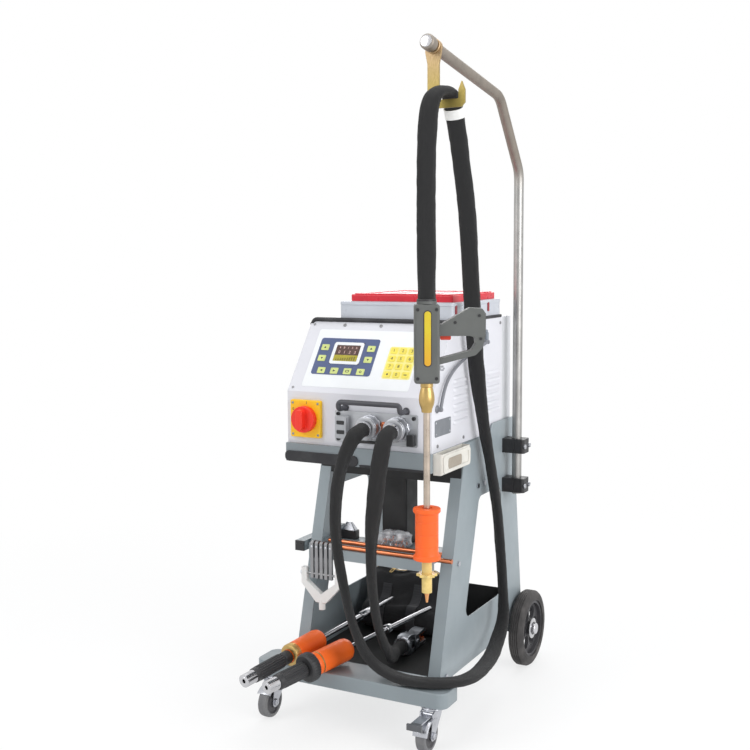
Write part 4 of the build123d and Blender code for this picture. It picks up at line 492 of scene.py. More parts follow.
def strip_look(name):
    """The gun's strip: lemon at its top, amber at its foot, under a clear skin."""
    s = Shader(name, Roughness=0.3, Coat_Weight=0.4, Coat_Roughness=0.15)
    climb = s.span(s.axes(s.place())[2], 0.862, 0.94)
    base = s.mix(climb, rgb(212, 152, 20), rgb(206, 186, 26))
    base = s.mix(s.clouds(70.0, 4.0, 0.35, 0.7, 0.0, 0.25), base, rgb(212, 158, 36))
    return s.done(base, None, s.bump(s.noise(500.0, 2.0), 0.03))


def clear_look(name):
    """A thin clear bag: mostly see-through, whiter and duller where it is creased."""
    s = Shader(name, Roughness=0.22, IOR=1.3)
    folds = s.clouds(46.0, 5.0, 0.4, 0.68)
    base = s.mix(folds, rgb(214, 218, 224), rgb(246, 247, 250))
    s.feed(s.end.inputs["Alpha"], s.span(folds, 0, 1, 0.22, 0.7))
    return s.done(base, s.span(folds, 0, 1, 0.12, 0.4), s.bump(s.noise(120.0, 4.0), 1.6))


# Finishes, whose numbers follow the arguments of the functions that make them

PAINT = rgb(147, 157, 162)
PAINT_WORN = rgb(184, 191, 194)
MOULDED = {
    "black_plastic": ((38, 38, 40), 0.46),
    "grip_plastic": ((46, 46, 48), 0.52, 0.08),
    "gun_plastic": ((90, 92, 90), 0.5, 0.07),
    "grey_plastic": ((128, 136, 146), 0.5),
    "handle_plastic": ((66, 66, 72), 0.45),
    "cream_plastic": ((214, 211, 203), 0.48),
    "orange_plastic": ((246, 98, 22), 0.44, 0.04, 0.08),
    "sleeve_plastic": ((255, 108, 26), 0.44, 0.04, 0.08),
    "yellow_plastic": ((255, 200, 26), 0.4, 0.04, 0.06),
    "red_plastic": ((248, 54, 36), 0.36, 0.04, 0.08),
    "lid_plastic": ((214, 32, 52), 0.32, 0.04, 0.1),
    "trigger_plastic": ((224, 66, 40), 0.4),
    "case_plastic": ((196, 200, 208), 0.34, 0.04, 0.06),
    "overlay": ((78, 92, 132), 0.34, 0.015, 0.06),
    "white_foil": ((240, 242, 244), 0.4, 0.02, 0.03),
    "white_tape": ((236, 236, 234), 0.55, 0.05, 0.05),
    "dark_ink": ((40, 42, 52), 0.5, 0.01),
    "rim_plastic": ((66, 65, 68), 0.46),
    "board_green": ((40, 96, 62), 0.4, 0.02),
    "display": ((58, 40, 40), 0.2, 0.005, 0.05),
    "label_grey": ((120, 124, 130), 0.4, 0.02),
    "pale_yellow": ((250, 240, 150), 0.4, 0.02, 0.05),
    "screen_dark": ((84, 58, 52), 0.25, 0.005, 0.1),
    "screen_olive": ((176, 164, 48), 0.25, 0.005, 0.1),
    "screen_pink": ((236, 196, 186), 0.3, 0.005, 0.05),
    "screen_bar": ((122, 112, 30), 0.3, 0.005, 0.05),
    "lid_window": ((226, 92, 110), 0.3),
    "latch_red": ((142, 22, 36), 0.38),
    "socket_grey": ((178, 180, 184), 0.46),
    "pocket_shade": ((158, 148, 134), 0.5),
    "rail_grey": ((120, 122, 128), 0.42),
}
METALS = {
    "steel": ((158, 158, 160), 0.34, (1, 1, 0.05)),
    "zinc": ((200, 202, 208), 0.24, (1, 1, 0.3), 0.2),
    "chrome": ((205, 205, 208), 0.14, (1, 1, 0.05), 0.12),
    "mast_steel": ((174, 173, 171), 0.36, (1, 1, 0.02), 0.16, ((158, 149, 139), 1250, 1330, 0.2)),
    "hook_zinc": ((178, 160, 92), 0.46, (1, 1, 0.2), 0.16, ((196, 168, 136), 1425, 1515, 0)),
    "brass": ((200, 170, 110), 0.34, (1, 1, 0.1), 0.2),
    "copper": ((224, 136, 96), 0.3, (0.03, 1, 1), 0.2),
    "aluminium": ((188, 190, 194), 0.36, (0.05, 1, 1), 0.12),
    "shaft_steel": ((196, 182, 168), 0.26, (1, 1, 0.03), 0.16),
    "core_steel": ((104, 106, 110), 0.45, (1, 0.02, 1)),
    "coil_copper": ((186, 104, 62), 0.36, (1, 1, 0.02)),
    "clamp_zinc": ((168, 172, 178), 0.36, (1, 0.1, 1), 0.25),
}
OTHER_LOOKS = {
    "frame_paint": (painted, PAINT, PAINT_WORN),
    # The frame's paint made darker for the beam, top tray and hook bar: painted shade on parts that lie in
    # shade.
    "beam_paint": (painted, shade(PAINT, 0.84), PAINT_WORN),
    # Near-black paint for the centre column. The same colour is painted shade on the dark channel under the
    # tray's front.
    "dark_paint": (painted, rgb(13, 14, 16), rgb(46, 49, 51), 0.56),
    "housing_paint": (painted, rgb(222, 222, 228), rgb(240, 240, 242), 0.36, 0.05),
    "rear_paint": (painted, rgb(208, 210, 214), rgb(236, 236, 238), 0.4, 0.06),
    # The bin's inside is painted near black: painted shade.
    "bin_lined": (shade_lined, PAINT, PAINT_WORN, rgb(17, 18, 19)),
    "keys": (by_place, 0, 30.0, rgb(214, 224, 140), rgb(244, 226, 92), 0.4),
    "caps": (by_place, 1, 200.0, rgb(40, 40, 42), rgb(208, 208, 212), 0.34, 1.0),
    "chuck": (by_place, 2, 380.0, rgb(214, 150, 92), rgb(224, 196, 120), 0.26),
    "brake": (by_place, 1, -352.0, rgb(88, 90, 94), rgb(200, 202, 208), 0.34, 1.0),
    "tyre": (rubber, rgb(52, 50, 50), rgb(104, 100, 98)),
    "caster_rubber": (rubber, rgb(112, 112, 114), rgb(156, 154, 150), 0.6),
    # Dark rubber for the console bead, the case's foot band and the tray's band. The same colour is painted
    # shade on the thin strip along the tray's lip.
    "trim_rubber": (rubber, rgb(34, 34, 38), rgb(70, 70, 72), 0.6),
    "lead_sleeve": (woven, rgb(19, 19, 20), rgb(40, 40, 41)),
    "black_fabric": (cloth, rgb(14, 14, 16), rgb(34, 34, 37), 700.0, 0.08),
    "webbing": (cloth, rgb(26, 26, 28), rgb(60, 60, 64), 420.0),
    "clear_bag": (clear_look,),
    "gun_strip": (strip_look,),
}
NODE_LOOKS = {
    "frame_paint": "side_plate_right side_plate_left mid_shelf",
    "beam_paint": "front_beam top_tray hook_bar",
    "bin_lined": "lower_bin",
    "dark_paint": "centre_column",
    "cream_plastic": "side_pocket",
    "white_tape": "comb_yoke",
    "zinc": "frame_bolts rear_axle caster_plates caster_fork_right caster_fork_left",
    "brake": "caster_brake",
    "caps": "end_caps",
    "mast_steel": "mast_tube",
    "black_plastic": "mast_clamps mains_gland puller_grips",
    "hook_zinc": "cable_hook",
    "caster_rubber": "caster_wheel_right caster_wheel_left",
    "tyre": "rear_tyre_right rear_tyre_left",
    "rim_plastic": "rear_rim_right rear_rim_left",
    "housing_paint": "front_chassis housing_cover",
    "rear_paint": "rear_panel",
    "overlay": "keypad_overlay",
    "display": "display_window",
    "keys": "console_keys",
    "yellow_plastic": "switch_plate",
    "red_plastic": "switch_knob",
    "aluminium": "socket_plate lead_sockets",
    "chrome": "puller_rods",
    "handle_plastic": "panel_handle",
    "core_steel": "transformer_core",
    "coil_copper": "transformer_coil",
    "board_green": "control_board",
    "case_plastic": "case_body",
    "lid_plastic": "case_lid",
    "gun_plastic": "gun_shells",
    "trigger_plastic": "gun_trigger",
    "brass": "gun_nose",
    "shaft_steel": "gun_shaft",
    "orange_plastic": "gun_hammer puller_sleeve_1 puller_sleeve_2",
    "chuck": "gun_chuck",
    "steel": "comb_claws",
    "copper": "copper_rods",
    "white_foil": "parts_bag",
    "black_fabric": "tool_bag",
    "grey_plastic": "earth_clamp",
    "lead_sleeve": "gun_lead earth_lead",
}


def make_looks():
    for kind, table in ((moulded, MOULDED), (metal, METALS)):
        for name, (colour, *rest) in table.items():
            look[name] = kind(name, rgb(*colour), *rest)
    for name, (kind, *rest) in OTHER_LOOKS.items():
        look[name] = kind(name, *rest)


def dress_nodes():
    for finish, names in NODE_LOOKS.items():
        for name in names.split():
            for slot in nodes[name].material_slots:
                slot.material = look[finish]


# Camera

CAMERA_PLACE = (1.2255, -2.4463, 1.0942)
CAMERA_YAW = math.radians(28.06)
CAMERA_PITCH = math.radians(6.12)
CAMERA_ROLL = math.radians(-0.34)
CAMERA_LENS = 53.476


def make_camera():
    level = math.cos(CAMERA_PITCH)
    ahead = Vector((-math.sin(CAMERA_YAW) * level, math.cos(CAMERA_YAW) * level, -math.sin(CAMERA_PITCH)))
    right = Vector((math.cos(CAMERA_YAW), math.sin(CAMERA_YAW), 0))
    up = right.cross(ahead)
    across = right * math.cos(CAMERA_ROLL) + up * math.sin(CAMERA_ROLL)
    upright = up * math.cos(CAMERA_ROLL) - right * math.sin(CAMERA_ROLL)
    camera = bpy.data.objects.new("camera", bpy.data.cameras.new("camera"))
    camera.data.lens = CAMERA_LENS
    camera.matrix_world = Matrix((across, upright, -ahead)).transposed().to_4x4()
    camera.location = CAMERA_PLACE
    scene.collection.objects.link(camera)
    scene.camera = camera


# Leads and how their flat sleeves lie, as a route point's wide direction, half width and half thickness

LEAD_D = 36.0
GUN_LEAD = (
    (36, -261, 706), (36, -292, 706), (33, -321, 689), (22, -340, 647), (8, -347, 585),
    (3, -347, 503), (6, -340, 430), (13, -330, 365), (21, -317, 292), (34, -303, 230),
    (59, -291, 176), (112, -287, 149), (176, -285, 145.5), (240, -257, 145), (268, -205, 142),
    (266, -130, 138), (255, -42, 139), (243, 26, 156), (238, 80, 194), (230, 96, 262),
    (225, 90, 350), (223, 76, 452), (222, 32, 580), (218, -14, 702), (218, -57, 842),
    (223, -95, 1002), (235, -145, 1180), (245, -210, 1310), (252, -264, 1410), (258, -298, 1430),
    (250, -334, 1430), (240, -357, 1404), (234, -357, 1330), (232, -355, 1200), (233, -355, 1090),
    (233, -355, 1000),
)
EARTH_LEAD = (
    (107, -261, 706), (107, -289, 706), (107, -312, 687), (105, -326, 643), (98, -332, 575), (88, -330, 500),
    (79, -320, 425), (73, -303, 355), (69, -282, 290), (66, -256, 236), (63, -222, 188), (56, -182, 154),
    (48, -146, 140), (32, -116, 138), (32, -78, 138),
)
GUN_LAY = {
    0: ((-1, 0, 0), 17.5, 17.5),
    1: ((-0.9, -0.4, 0.2), 18, 14),
    2: ((-0.3, -0.95, 0), 19.5, 12),
    4: ((0.05, -1, 0), 20, 11.5),
    6: ((0.3, -0.95, 0), 20, 11),
    8: ((0.45, -0.89, 0), 20, 10.5),
    10: ((0.3, -0.95, 0), 20, 10.5),
    12: ((0, -1, 0), 20, 10.5),
    13: ((0.5, -0.9, 0), 20, 10.5),
    15: ((1, 0, 0), 20, 10.5),
    17: ((0.85, -0.5, 0), 20, 10.5),
    19: ((0.68, -0.73, 0), 20, 10.5),
    22: ((0.68, -0.73, 0), 20, 11),
    23: ((0.83, -0.56, 0), 20, 11),
    24: ((1, -0.03, 0), 20, 12),
    26: ((0.96, 0.28, 0), 20, 13),
    28: ((0.9, 0.4, 0), 20, 12),
    29: ((1, 0, 0), 19.5, 11),
    30: ((1, 0, 0), 19.5, 11),
    32: ((0.88, 0.47, 0), 20.5, 12.5),
    34: ((0.88, 0.47, 0), 20.5, 13),
    35: ((1, 0, 0), 18, 18),
}
EARTH_LAY = {
    0: ((-1, 0, 0), 17.5, 17.5),
    1: ((-0.9, -0.4, 0.2), 18, 14),
    2: ((-0.65, -0.76, 0), 19.5, 12),
    4: ((-0.65, -0.76, 0), 20, 11.5),
    6: ((0.2, -0.98, 0), 20, 11),
    8: ((0.45, -0.89, 0), 20, 10.5),
    10: ((0.45, -0.89, 0), 20, 10.5),
    12: ((0, -0.5, -0.85), 18, 13),
    14: ((0, 0, -1), 16.5, 16.5),
}
GUN_SEAM = 1.9
EARTH_SEAM = 1.4
SLEEVE_STEPS = 48
SLEEVE_POWER = 0.85
FOLD_HIGH = 1.1
FOLD_LONG = 13.0 * MM
SLEEVE_WAVES = ((1.1, 1.3, 22, 0), (0.7, 2.6, 75, 7))
SEAM_HIGH = 0.9
SEAM_WIDTH = 0.13
SKIN_SINK = 0.5
BAND_Z = 1392.0
BAND_HALF = 13.5
BAND_THICK = 1.4
CLIP_RUNS = (7.0, 18.0)
CLIP_THICK = 1.3
WRAP_TUCK = -1.5


def laid_rows(points, lay):
    """Gives the rows of a lead's line: its run, point, wide and thin axes, their halves and its bend."""
    rows = frames_along(smooth_line([mm(*point) for point in points]))
    marks = []
    for index, (wide, half, thin) in lay.items():
        place = mm(*points[index])
        run = min(rows, key=lambda row: (row[1] - place).length)[0]
        marks.append((run, Vector(wide).normalized(), half, thin))
    laid = []
    for run, point, ahead, _, _, bend in rows:
        after = next((mark for mark in marks if mark[0] > run), marks[-1])
        before = marks[max(marks.index(after) - 1, 0)]
        length = after[0] - before[0]
        share = min(1.0, max(0.0, (run - before[0]) / length)) if length > 0 else 1.0
        share = share * share * (3 - 2 * share)
        wide = before[1].lerp(after[1], share)
        wide = (wide - ahead * wide.dot(ahead)).normalized()
        half, thin = (before[k] + (after[k] - before[k]) * share for k in (2, 3))
        laid.append((run, point, wide, ahead.cross(wide), half, thin, bend))
    return laid


def powered(value, power):
    return math.copysign(abs(value) ** power, value)


def sleeve_ring(row, seam_turn=None, grow=0.0):
    """Gives a ring of points round a lead: a soft flat oval, with folds inside a bend and a seam."""
    run, point, wide, thin_axis, half, thin, bend = row
    ring = []
    for k in range(SLEEVE_STEPS):
        turn = math.tau * k / SLEEVE_STEPS
        across, over = (powered(c, SLEEVE_POWER) for c in (math.cos(turn), math.sin(turn)))
        out = (wide * half * across + thin_axis * thin * over) * MM
        away = out.normalized()
        lift = grow
        if seam_turn is not None:
            pinch = min(1.0, 1.6 * max(0.0, away.dot(bend)) * LEAD_D / 2 * MM)
            lift += FOLD_HIGH * pinch * math.sin(math.tau * run / FOLD_LONG + 2 * math.sin(turn))
            for high, fine, along, start in SLEEVE_WAVES:
                lift += high * noise.noise(away * fine + Vector((start, 0, run * along)))
            off_seam = (turn - seam_turn + math.pi) % math.tau - math.pi
            lift += SEAM_HIGH * math.exp(-((off_seam / SEAM_WIDTH) ** 2)) - SKIN_SINK
        ring.append(point + out + away * lift * MM)
    return ring


def make_sleeve(lead, rows, seam_turn):
    """A lead in its textile sleeve, with the run along it in its UVs for the weave."""
    rings = [sleeve_ring(row, seam_turn) for row in rows]
    sleeve = piece(f"{lead}_sleeve", "lead_sleeve", (rings, CAPPED), angle=60.0, instead_of=lead)
    mesh = sleeve.data
    layer = mesh.uv_layers.new(name="UVMap")
    for face in mesh.polygons[: (len(rows) - 1) * SLEEVE_STEPS]:
        column = face.index % SLEEVE_STEPS
        for corner in face.loop_indices:
            row, k = divmod(mesh.loops[corner].vertex_index, SLEEVE_STEPS)
            turn = k if k >= column else SLEEVE_STEPS
            layer.data[corner].uv = (turn / SLEEVE_STEPS, rows[row][0] / (math.pi * LEAD_D * MM))
    return sleeve


def wrap(rows, low, high, thick):
    """A band that lies round a lead between two runs along it, tucked in at its edges."""
    inside = [row for row in rows if low <= row[0] <= high]
    first, last = (sleeve_ring(inside[k], grow=WRAP_TUCK) for k in (0, -1))
    return [first, *(sleeve_ring(row, grow=thick) for row in inside), last], OPEN


def make_leads():
    gun_rows = laid_rows(GUN_LEAD, GUN_LAY)
    earth_rows = laid_rows(EARTH_LEAD, EARTH_LAY)
    gun_lead = make_sleeve("gun_lead", gun_rows, GUN_SEAM)
    earth_lead = make_sleeve("earth_lead", earth_rows, EARTH_SEAM)
    top = max(gun_rows, key=lambda row: row[1].z)[0]
    rear_rows = [row for row in gun_rows if row[0] < top]
    run = min(rear_rows, key=lambda row: abs(row[1].z - BAND_Z * MM))[0]
    tape = wrap(gun_rows, run - BAND_HALF * MM, run + BAND_HALF * MM, BAND_THICK)
    band = piece("gun_lead_band", "white_tape", tape, slot=None, angle=50.0)
    low, high = (run * MM for run in CLIP_RUNS)
    clips = [wrap(rows, low, high, CLIP_THICK) for rows in (gun_rows, earth_rows)]
    piece("lead_hose_clips", "chrome", *clips)
    make_clamp()


# Earth clamp, with its outlines as (y, z) points

CLAMP = (32, -24, 138)
CLAMP_UPPER = (
    (-78, 148), (-70, 160), (-52, 162.4), (-30, 158), (-14, 153), (6, 156), (24, 157), (29.6, 152),
    (29.6, 147.4), (22, 149.4), (4, 149), (-16, 146.4), (-32, 149.6), (-50, 152.6), (-66, 150), (-72, 143),
)
CLAMP_LOWER = (
    (-78, 128), (-70, 116), (-52, 113), (-30, 117.6), (-14, 122.4), (6, 119.6), (24, 118.6), (29.6, 123.4),
    (29.6, 127.8), (22, 126), (4, 126.4), (-16, 129.2), (-32, 126), (-50, 122.8), (-66, 125.6), (-72, 132.6),
)
CLAMP_CHEEK = ((-34, 120), (-14, 120), (-10, 138), (-14, 156), (-34, 156), (-38, 138))
CLAMP_CHEEKS = ((-17.8, -15.4), (15.4, 17.8))
CLAMP_HALF = 15
PAD_HALF = 11
PAD_LEVELS = ((143.2, 148.6), (127, 132.2))
TOOTH_HALF = 10
TOOTH_PLACES = [8 + 4.4 * k for k in range(5)]
TOOTH_ABOVE = ((0, 143.3), (1.4, 141.2), (2.8, 143.3))
TOOTH_BELOW = ((0, 132.1), (2.8, 132.1), (1.4, 134.2))
PIN_LONG = 42
PIN = mirrored(((0, 0), (5.6, 0), (6.4, 1), (6.4, 3), (4.4, 3.4)), PIN_LONG)
CLAMP_LUG = (
    (17, 0), (21.4, 0), (22.4, 2), (22.4, 14), (20, 20), (13, 24), (12.6, 30), (8.5, 31), (8.5, 2), (17, 2),
)
SPRING_TURNS = 7
SPRING_STEPS = 24
SPRING_RADIUS = 8.2
SPRING_HALF = 12


def make_clamp():
    """A spring clamp of two bent arms, with copper jaw pads, a pivot and a coil spring."""
    middle_x, pin_y, pin_z = CLAMP
    place = sideways(1, middle_x, 0, 0)
    arms = [slab(outline, -CLAMP_HALF, CLAMP_HALF, place) for outline in (CLAMP_UPPER, CLAMP_LOWER[::-1])]
    arms += [slab(CLAMP_CHEEK, low, high, place) for low, high in CLAMP_CHEEKS]
    as_node = {"slot": "grey_plastic", "instead_of": "earth_clamp"}
    arms = piece("earth_clamp_arms", "clamp_zinc", *arms, bevel=0.7, **as_node)
    pads = []
    for low, high in PAD_LEVELS:
        pads.append(slab([(6, low), (29, low), (29, high), (6, high)], -PAD_HALF, PAD_HALF, place))
    for start in TOOTH_PLACES:
        for tooth in (TOOTH_ABOVE, TOOTH_BELOW):
            pads.append(slab([(start + y, z) for y, z in tooth], -TOOTH_HALF, TOOTH_HALF, place))
    pads = piece("earth_clamp_pads", "copper", *pads)
    coil = []
    for k in range(SPRING_STEPS * SPRING_TURNS + 1):
        turn = math.tau * k / SPRING_STEPS
        x = middle_x + SPRING_HALF * (2 * k / (SPRING_STEPS * SPRING_TURNS) - 1)
        coil.append(mm(x, pin_y + SPRING_RADIUS * math.cos(turn), pin_z + SPRING_RADIUS * math.sin(turn)))
    pin = lathe(PIN, sideways(1, middle_x - PIN_LONG / 2, pin_y, pin_z), 28, OPEN)
    spring = piece("earth_clamp_spring", "zinc", pin, tube(coil, 1.4, 8))
    lug = lathe(CLAMP_LUG, facing(mm(middle_x, -78, pin_z), (0, 1, 0)), 40)
    return [arms, pads, spring, piece("earth_clamp_lug", "zinc", lug, angle=30.0)]


# Wheels and casters, with profiles as (radius, along) points

REAR_AXLE = (304, 100)
REAR_WHEEL_X = 198
TYRE_SHOULDER = ((74, 0), (83, 0.4), (92, 1.6), (96.5, 4), (98.6, 7))
TYRE_WIDTH = 38
TREAD_GROOVES = (11, 16.4, 21.8, 27.2)
TREAD_GROOVE = ((99.6, -2.4), (99.8, -0.8), (97.4, -0.5), (97.4, 0.5), (99.8, 0.8), (99.6, 2.4))
TYRE_SIDE_RING = ((78.5, 37.3), (80.5, 38.1), (83, 38.1), (85, 37.3))
HUB_RING = ((16.5, 33.5), (24, 34), (27, 35.5), (24, 36.4), (19, 37.2), (16.5, 37.4))
CASTER_X = 207
CASTER_WHEEL = (-302, 37.5)
CASTER_SWIVEL = (-270, 87)
CASTER_TYRE = mirrored(((28.5, -11.6), (33.5, -11.9), (36.4, -10.2), (37.3, -6)), 0, ((37.5, 0),))
CASTER_DISC = mirrored(((9, -11.8), (13, -12), (15, -9.2), (25, -8.4), (28.4, -11.2)))
CASTER_BEARING = mirrored(((4.1, -12.4), (8.6, -12.4), (8.9, -11.5)))
CASTER_NUT = (7.6, 4.6, 2.4)
CASTER_NUT_OUT = 16.6
SWIVEL_RACE = mirrored(((18, 0.6), (25.6, 0.6), (26.6, 2)), 7)
HOOD_SECTION = (
    (-17.4, 34), (-17.4, 38.1), (-16.2, 39), (16.2, 39), (17.4, 38.1), (17.4, 34),
    (16.8, 34), (16.8, 37.9), (15.9, 38.4), (-15.9, 38.4), (-16.8, 37.9), (-16.8, 34),
)
HOOD_TURN = {"right": (13, 124), "left": (42, 124)}
HOOD_STEPS = 26


def make_rear_wheels():
    grooves = [(radius, middle + along) for middle in TREAD_GROOVES for radius, along in TREAD_GROOVE]
    tread = mirrored(TYRE_SHOULDER, TYRE_WIDTH, grooves)
    for side, name in SIDES:
        place = sideways(side, side * REAR_WHEEL_X, *REAR_AXLE)
        body = f"rear_wheel_{name}"
        tyre = lathe(tread, place, 96), lathe(TYRE_SIDE_RING, place, 96, OPEN)
        piece(f"ribbed_tyre_{name}", "tyre", *tyre, body=body, angle=30.0, instead_of=f"rear_tyre_{name}")
        piece(f"rear_hub_ring_{name}", "chrome", lathe(HUB_RING, place), body=body)


def hood(middle, turns):
    """A pressed hood that bends over a caster's wheel from its front to behind its top."""
    first, last = (math.radians(turn) for turn in turns)
    rings = []
    for k in range(HOOD_STEPS + 1):
        turn = first + (last - first) * k / HOOD_STEPS
        ahead, up = -math.cos(turn), math.sin(turn)
        rings.append([mm(*middle) + mm(x, ahead * r, up * r) for x, r in HOOD_SECTION])
    return rings, CAPPED


def make_casters():
    for side, name in SIDES:
        x = side * CASTER_X
        place = sideways(1, x, *CASTER_WHEEL)
        wheel = {"body": f"caster_wheel_{name}", "instead_of": f"caster_wheel_{name}"}
        piece(f"caster_tyre_{name}", "caster_rubber", lathe(CASTER_TYRE, place, 72), angle=30.0, **wheel)
        disc = lathe(CASTER_DISC, place, 60)
        piece(f"caster_disc_{name}", "rim_plastic", disc, slot="grey_plastic", **wheel)
        piece(f"caster_bearing_{name}", "chrome", lathe(CASTER_BEARING, place, 36), slot="zinc", **wheel)
        faces = [sideways(out, x + out * CASTER_NUT_OUT, *CASTER_WHEEL) for out in (-1, 1)]
        nuts = [hex_nut(face, *CASTER_NUT) for face in faces]
        race = lathe(SWIVEL_RACE, upward(x, *CASTER_SWIVEL))
        piece(f"caster_nuts_{name}", "zinc", *nuts, race, body=f"caster_{name}")
        cover = hood((x, *CASTER_WHEEL), HOOD_TURN[name])
        piece(f"caster_hood_{name}", "zinc", cover, body=f"caster_{name}", angle=40.0)


# Pulling gun

GUN_PLACE = Matrix.Translation(mm(233, -355, 0)) @ Matrix.Rotation(math.radians(28), 4, "Z")
GUN_FACE = GUN_PLACE @ frontward(0, -23, 0)
GRIP_FACE = GUN_PLACE @ frontward(0, -17.2, 0)
STRIP_BED = (17, 117, 8.4, -0.6, 0.7, (1, 923), 8)
STRIP = (13.6, 113, 6.7, 0.2, 1.6, (1, 923), 8)
GUN_SCREWS = ((-19.5, 983), (19.5, 983), (-19.5, 840), (19.5, 840))
GUN_SCREW = (-0.4, 3.6, 1.6)
GRIP_SCREWS = ((58, 956), (108, 970), (111, 922))
GRIP_SCREW = (0, 3.2, 1.4)
FOOT_BOLT_X = (-26.5, 26.5)
FOOT_BOLT_Z = (834, 866)
FOOT_NUT_PLACE = (31, -14, 861)
FOOT_NUT = (6.2, 4, 1.6)
NOSE_BULB = (
    (7.2, 767), (10.4, 767), (11.2, 769), (11.2, 773), (12.6, 777), (15.6, 785), (16.8, 794), (16.2, 803),
    (14, 813), (12.2, 820), (13.4, 821), (13.4, 828.6), (7.2, 828.6),
)
GLAND_RING = ((18.2, 999.6), (20.6, 999.6), (21, 1000.6), (20.6, 1003.4), (19.6, 1004.4), (18.2, 1004.4))
HAMMER_Z = 452
HAMMER_LONG = 111
HAMMER_END = ((28.2, 0), (29.4, 1.4), (29.4, 7.4), (28.2, 9), (25.6, 11), (24.8, 14))
HAMMER_GROOVES = (28, 56, 83)
HAMMER_GROOVE = ((24.8, -1.2), (24.3, -0.6), (24.3, 0.6), (24.8, 1.2))
HAMMER_MOUTH = ((12, 111), (11.6, 109), (7.4, 109))


def make_gun():
    piece("gun_strip_bed", "black_plastic", *plates(GUN_FACE, [STRIP_BED]), slot=None, bevel=0.3)
    piece("gun_strip", "gun_strip", *plates(GUN_FACE, [STRIP]), slot="yellow_plastic", bevel=0.4)
    heads = screws(GUN_FACE, GUN_SCREWS, *GUN_SCREW) + screws(GRIP_FACE, GRIP_SCREWS, *GRIP_SCREW)
    piece("gun_screws", "black_plastic", *heads)
    bolts = [tube([GUN_PLACE @ mm(x, 0, z) for z in FOOT_BOLT_Z], 0.7, 8) for x in FOOT_BOLT_X]
    bolts.append(hex_nut(GUN_PLACE @ frontward(*FOOT_NUT_PLACE), *FOOT_NUT))
    piece("gun_foot_bolt", "zinc", *bolts)
    piece("gun_nose_bulb", "brass", lathe(NOSE_BULB, GUN_PLACE, 40), angle=30.0, instead_of="gun_nose")
    piece("gun_gland_ring", "black_plastic", lathe(GLAND_RING, GUN_PLACE, flutes=24, depth=0.6))
    grooves = [(radius, level + along) for level in HAMMER_GROOVES for radius, along in HAMMER_GROOVE]
    profile = [(7.4, 0), *mirrored(HAMMER_END, HAMMER_LONG, grooves), *HAMMER_MOUTH]
    hammer = lathe(profile, shifted(GUN_PLACE, 0, 0, HAMMER_Z), 56)
    on_shaft = {"body": "gun_hammer", "instead_of": "gun_hammer"}
    piece("gun_hammer_sleeve", "orange_plastic", hammer, angle=30.0, **on_shaft)


# Loose slide hammers, each with its rod's two ends, and starts, ends and radii along the rod

PULLERS = (
    {
        "ends": ((-175, -454, 144.283), (-76, 84, 199.845)),
        "grip": (30.4, 125, 17.5),
        "collar": (125, 149, 16),
        "sleeve": (150, 262),
        "stop": (418, 468, 10),
        "capped": True,
    },
    {
        "ends": ((-110, -461, 143.560), (44, 61, 197.470)),
        "grip": (30.4, 114, 19),
        "collar": (114, 138, 34),
        "sleeve": (139, 255),
        "stop": (382, 398, 11.2),
        "capped": False,
    },
)
ROD_BORE = 6.4
SLEEVE_BORE = 6.6
SLEEVE_NEAR = ((23, 0), (25.8, 1.6), (26.8, 5), (26.8, 13), (25.6, 14.4), (25.6, 17.6), (26.8, 19))
SLEEVE_FAR = ((27, -16), (25.2, -7), (21.5, -1.8), (17, 0))
SLEEVE_BAND = ((25, 14.2), (26.5, 14.4), (26.7, 16), (26.5, 17.6), (25, 17.8))
SLEEVE_CAP = (
    (17, 0.4), (17, -0.5), (23.2, -0.5), (26.1, 1.2), (27.2, 4.6), (27.2, 12), (26.4, 12.8), (25, 12.8),
)
END_WASHER = ((5.2, -0.3), (10.4, -0.3), (11.4, 0.6), (11.4, 2.2), (5.2, 2.2))
FLUTED_FROM = 20


def make_pullers():
    grips = []
    rings = []
    for k, puller in enumerate(PULLERS, 1):
        rod_end, rod_tip = (mm(*end) for end in puller["ends"])
        place = facing(rod_end, rod_tip - rod_end)
        start, end, r = puller["grip"]
        neck = [(r - 3, start), (r - 0.8, start + 2), (r - 0.4, start + 8), (r - 0.4, start + 12)]
        grips.append(lathe([(ROD_BORE, start), *neck, (ROD_BORE, start + 12)], place))
        hand = [(r - 0.2, start + 12), (r, start + 16), (r, end - 10), (r - 0.6, end - 3)]
        hand = [(ROD_BORE, start + 12), *hand, (ROD_BORE, end - 3)]
        grips.append(lathe(hand, place, 120, flutes=20, depth=1.7))
        low, high, r = puller["collar"]
        collar = [(r - 4, low), (r - 0.8, low + 3), (r, low + 6), (r, high - 4), (r - 1.4, high - 1)]
        collar = [(ROD_BORE, low), *collar, (ROD_BORE, high)]
        grips.append(lathe(collar, place, 72, flutes=36 if r > FLUTED_FROM else 0, depth=0.9))
        begin, finish = puller["sleeve"]
        shell = [(radius, begin + along) for radius, along in SLEEVE_NEAR]
        shell += [(radius, finish + along) for radius, along in SLEEVE_FAR]
        sleeve = lathe([(SLEEVE_BORE, begin), *shell, (SLEEVE_BORE, finish)], place, 72)
        body = f"puller_sleeve_{k}"
        on_rod = {"body": body, "instead_of": body, "slot": "orange_plastic"}
        piece(f"orange_sleeve_{k}", "sleeve_plastic", sleeve, angle=30.0, **on_rod)
        at_begin = shifted(place, 0, 0, begin)
        brass = [lathe(SLEEVE_BAND, at_begin, 72, OPEN)]
        if puller["capped"]:
            brass.append(lathe(SLEEVE_CAP, at_begin, 72))
        piece(f"sleeve_ring_{k}", "brass", *brass, body=body)
        near, far, r = puller["stop"]
        rings.append(lathe(mirrored(((6.2, near), (r - 0.7, near), (r, near + 1)), near + far), place, 36))
        rings.append(lathe(END_WASHER, place, 36))
    piece("fluted_grips", "grip_plastic", *grips, angle=30.0, instead_of="puller_grips")
    piece("puller_stops", "chrome", *rings)


# Bags and small things

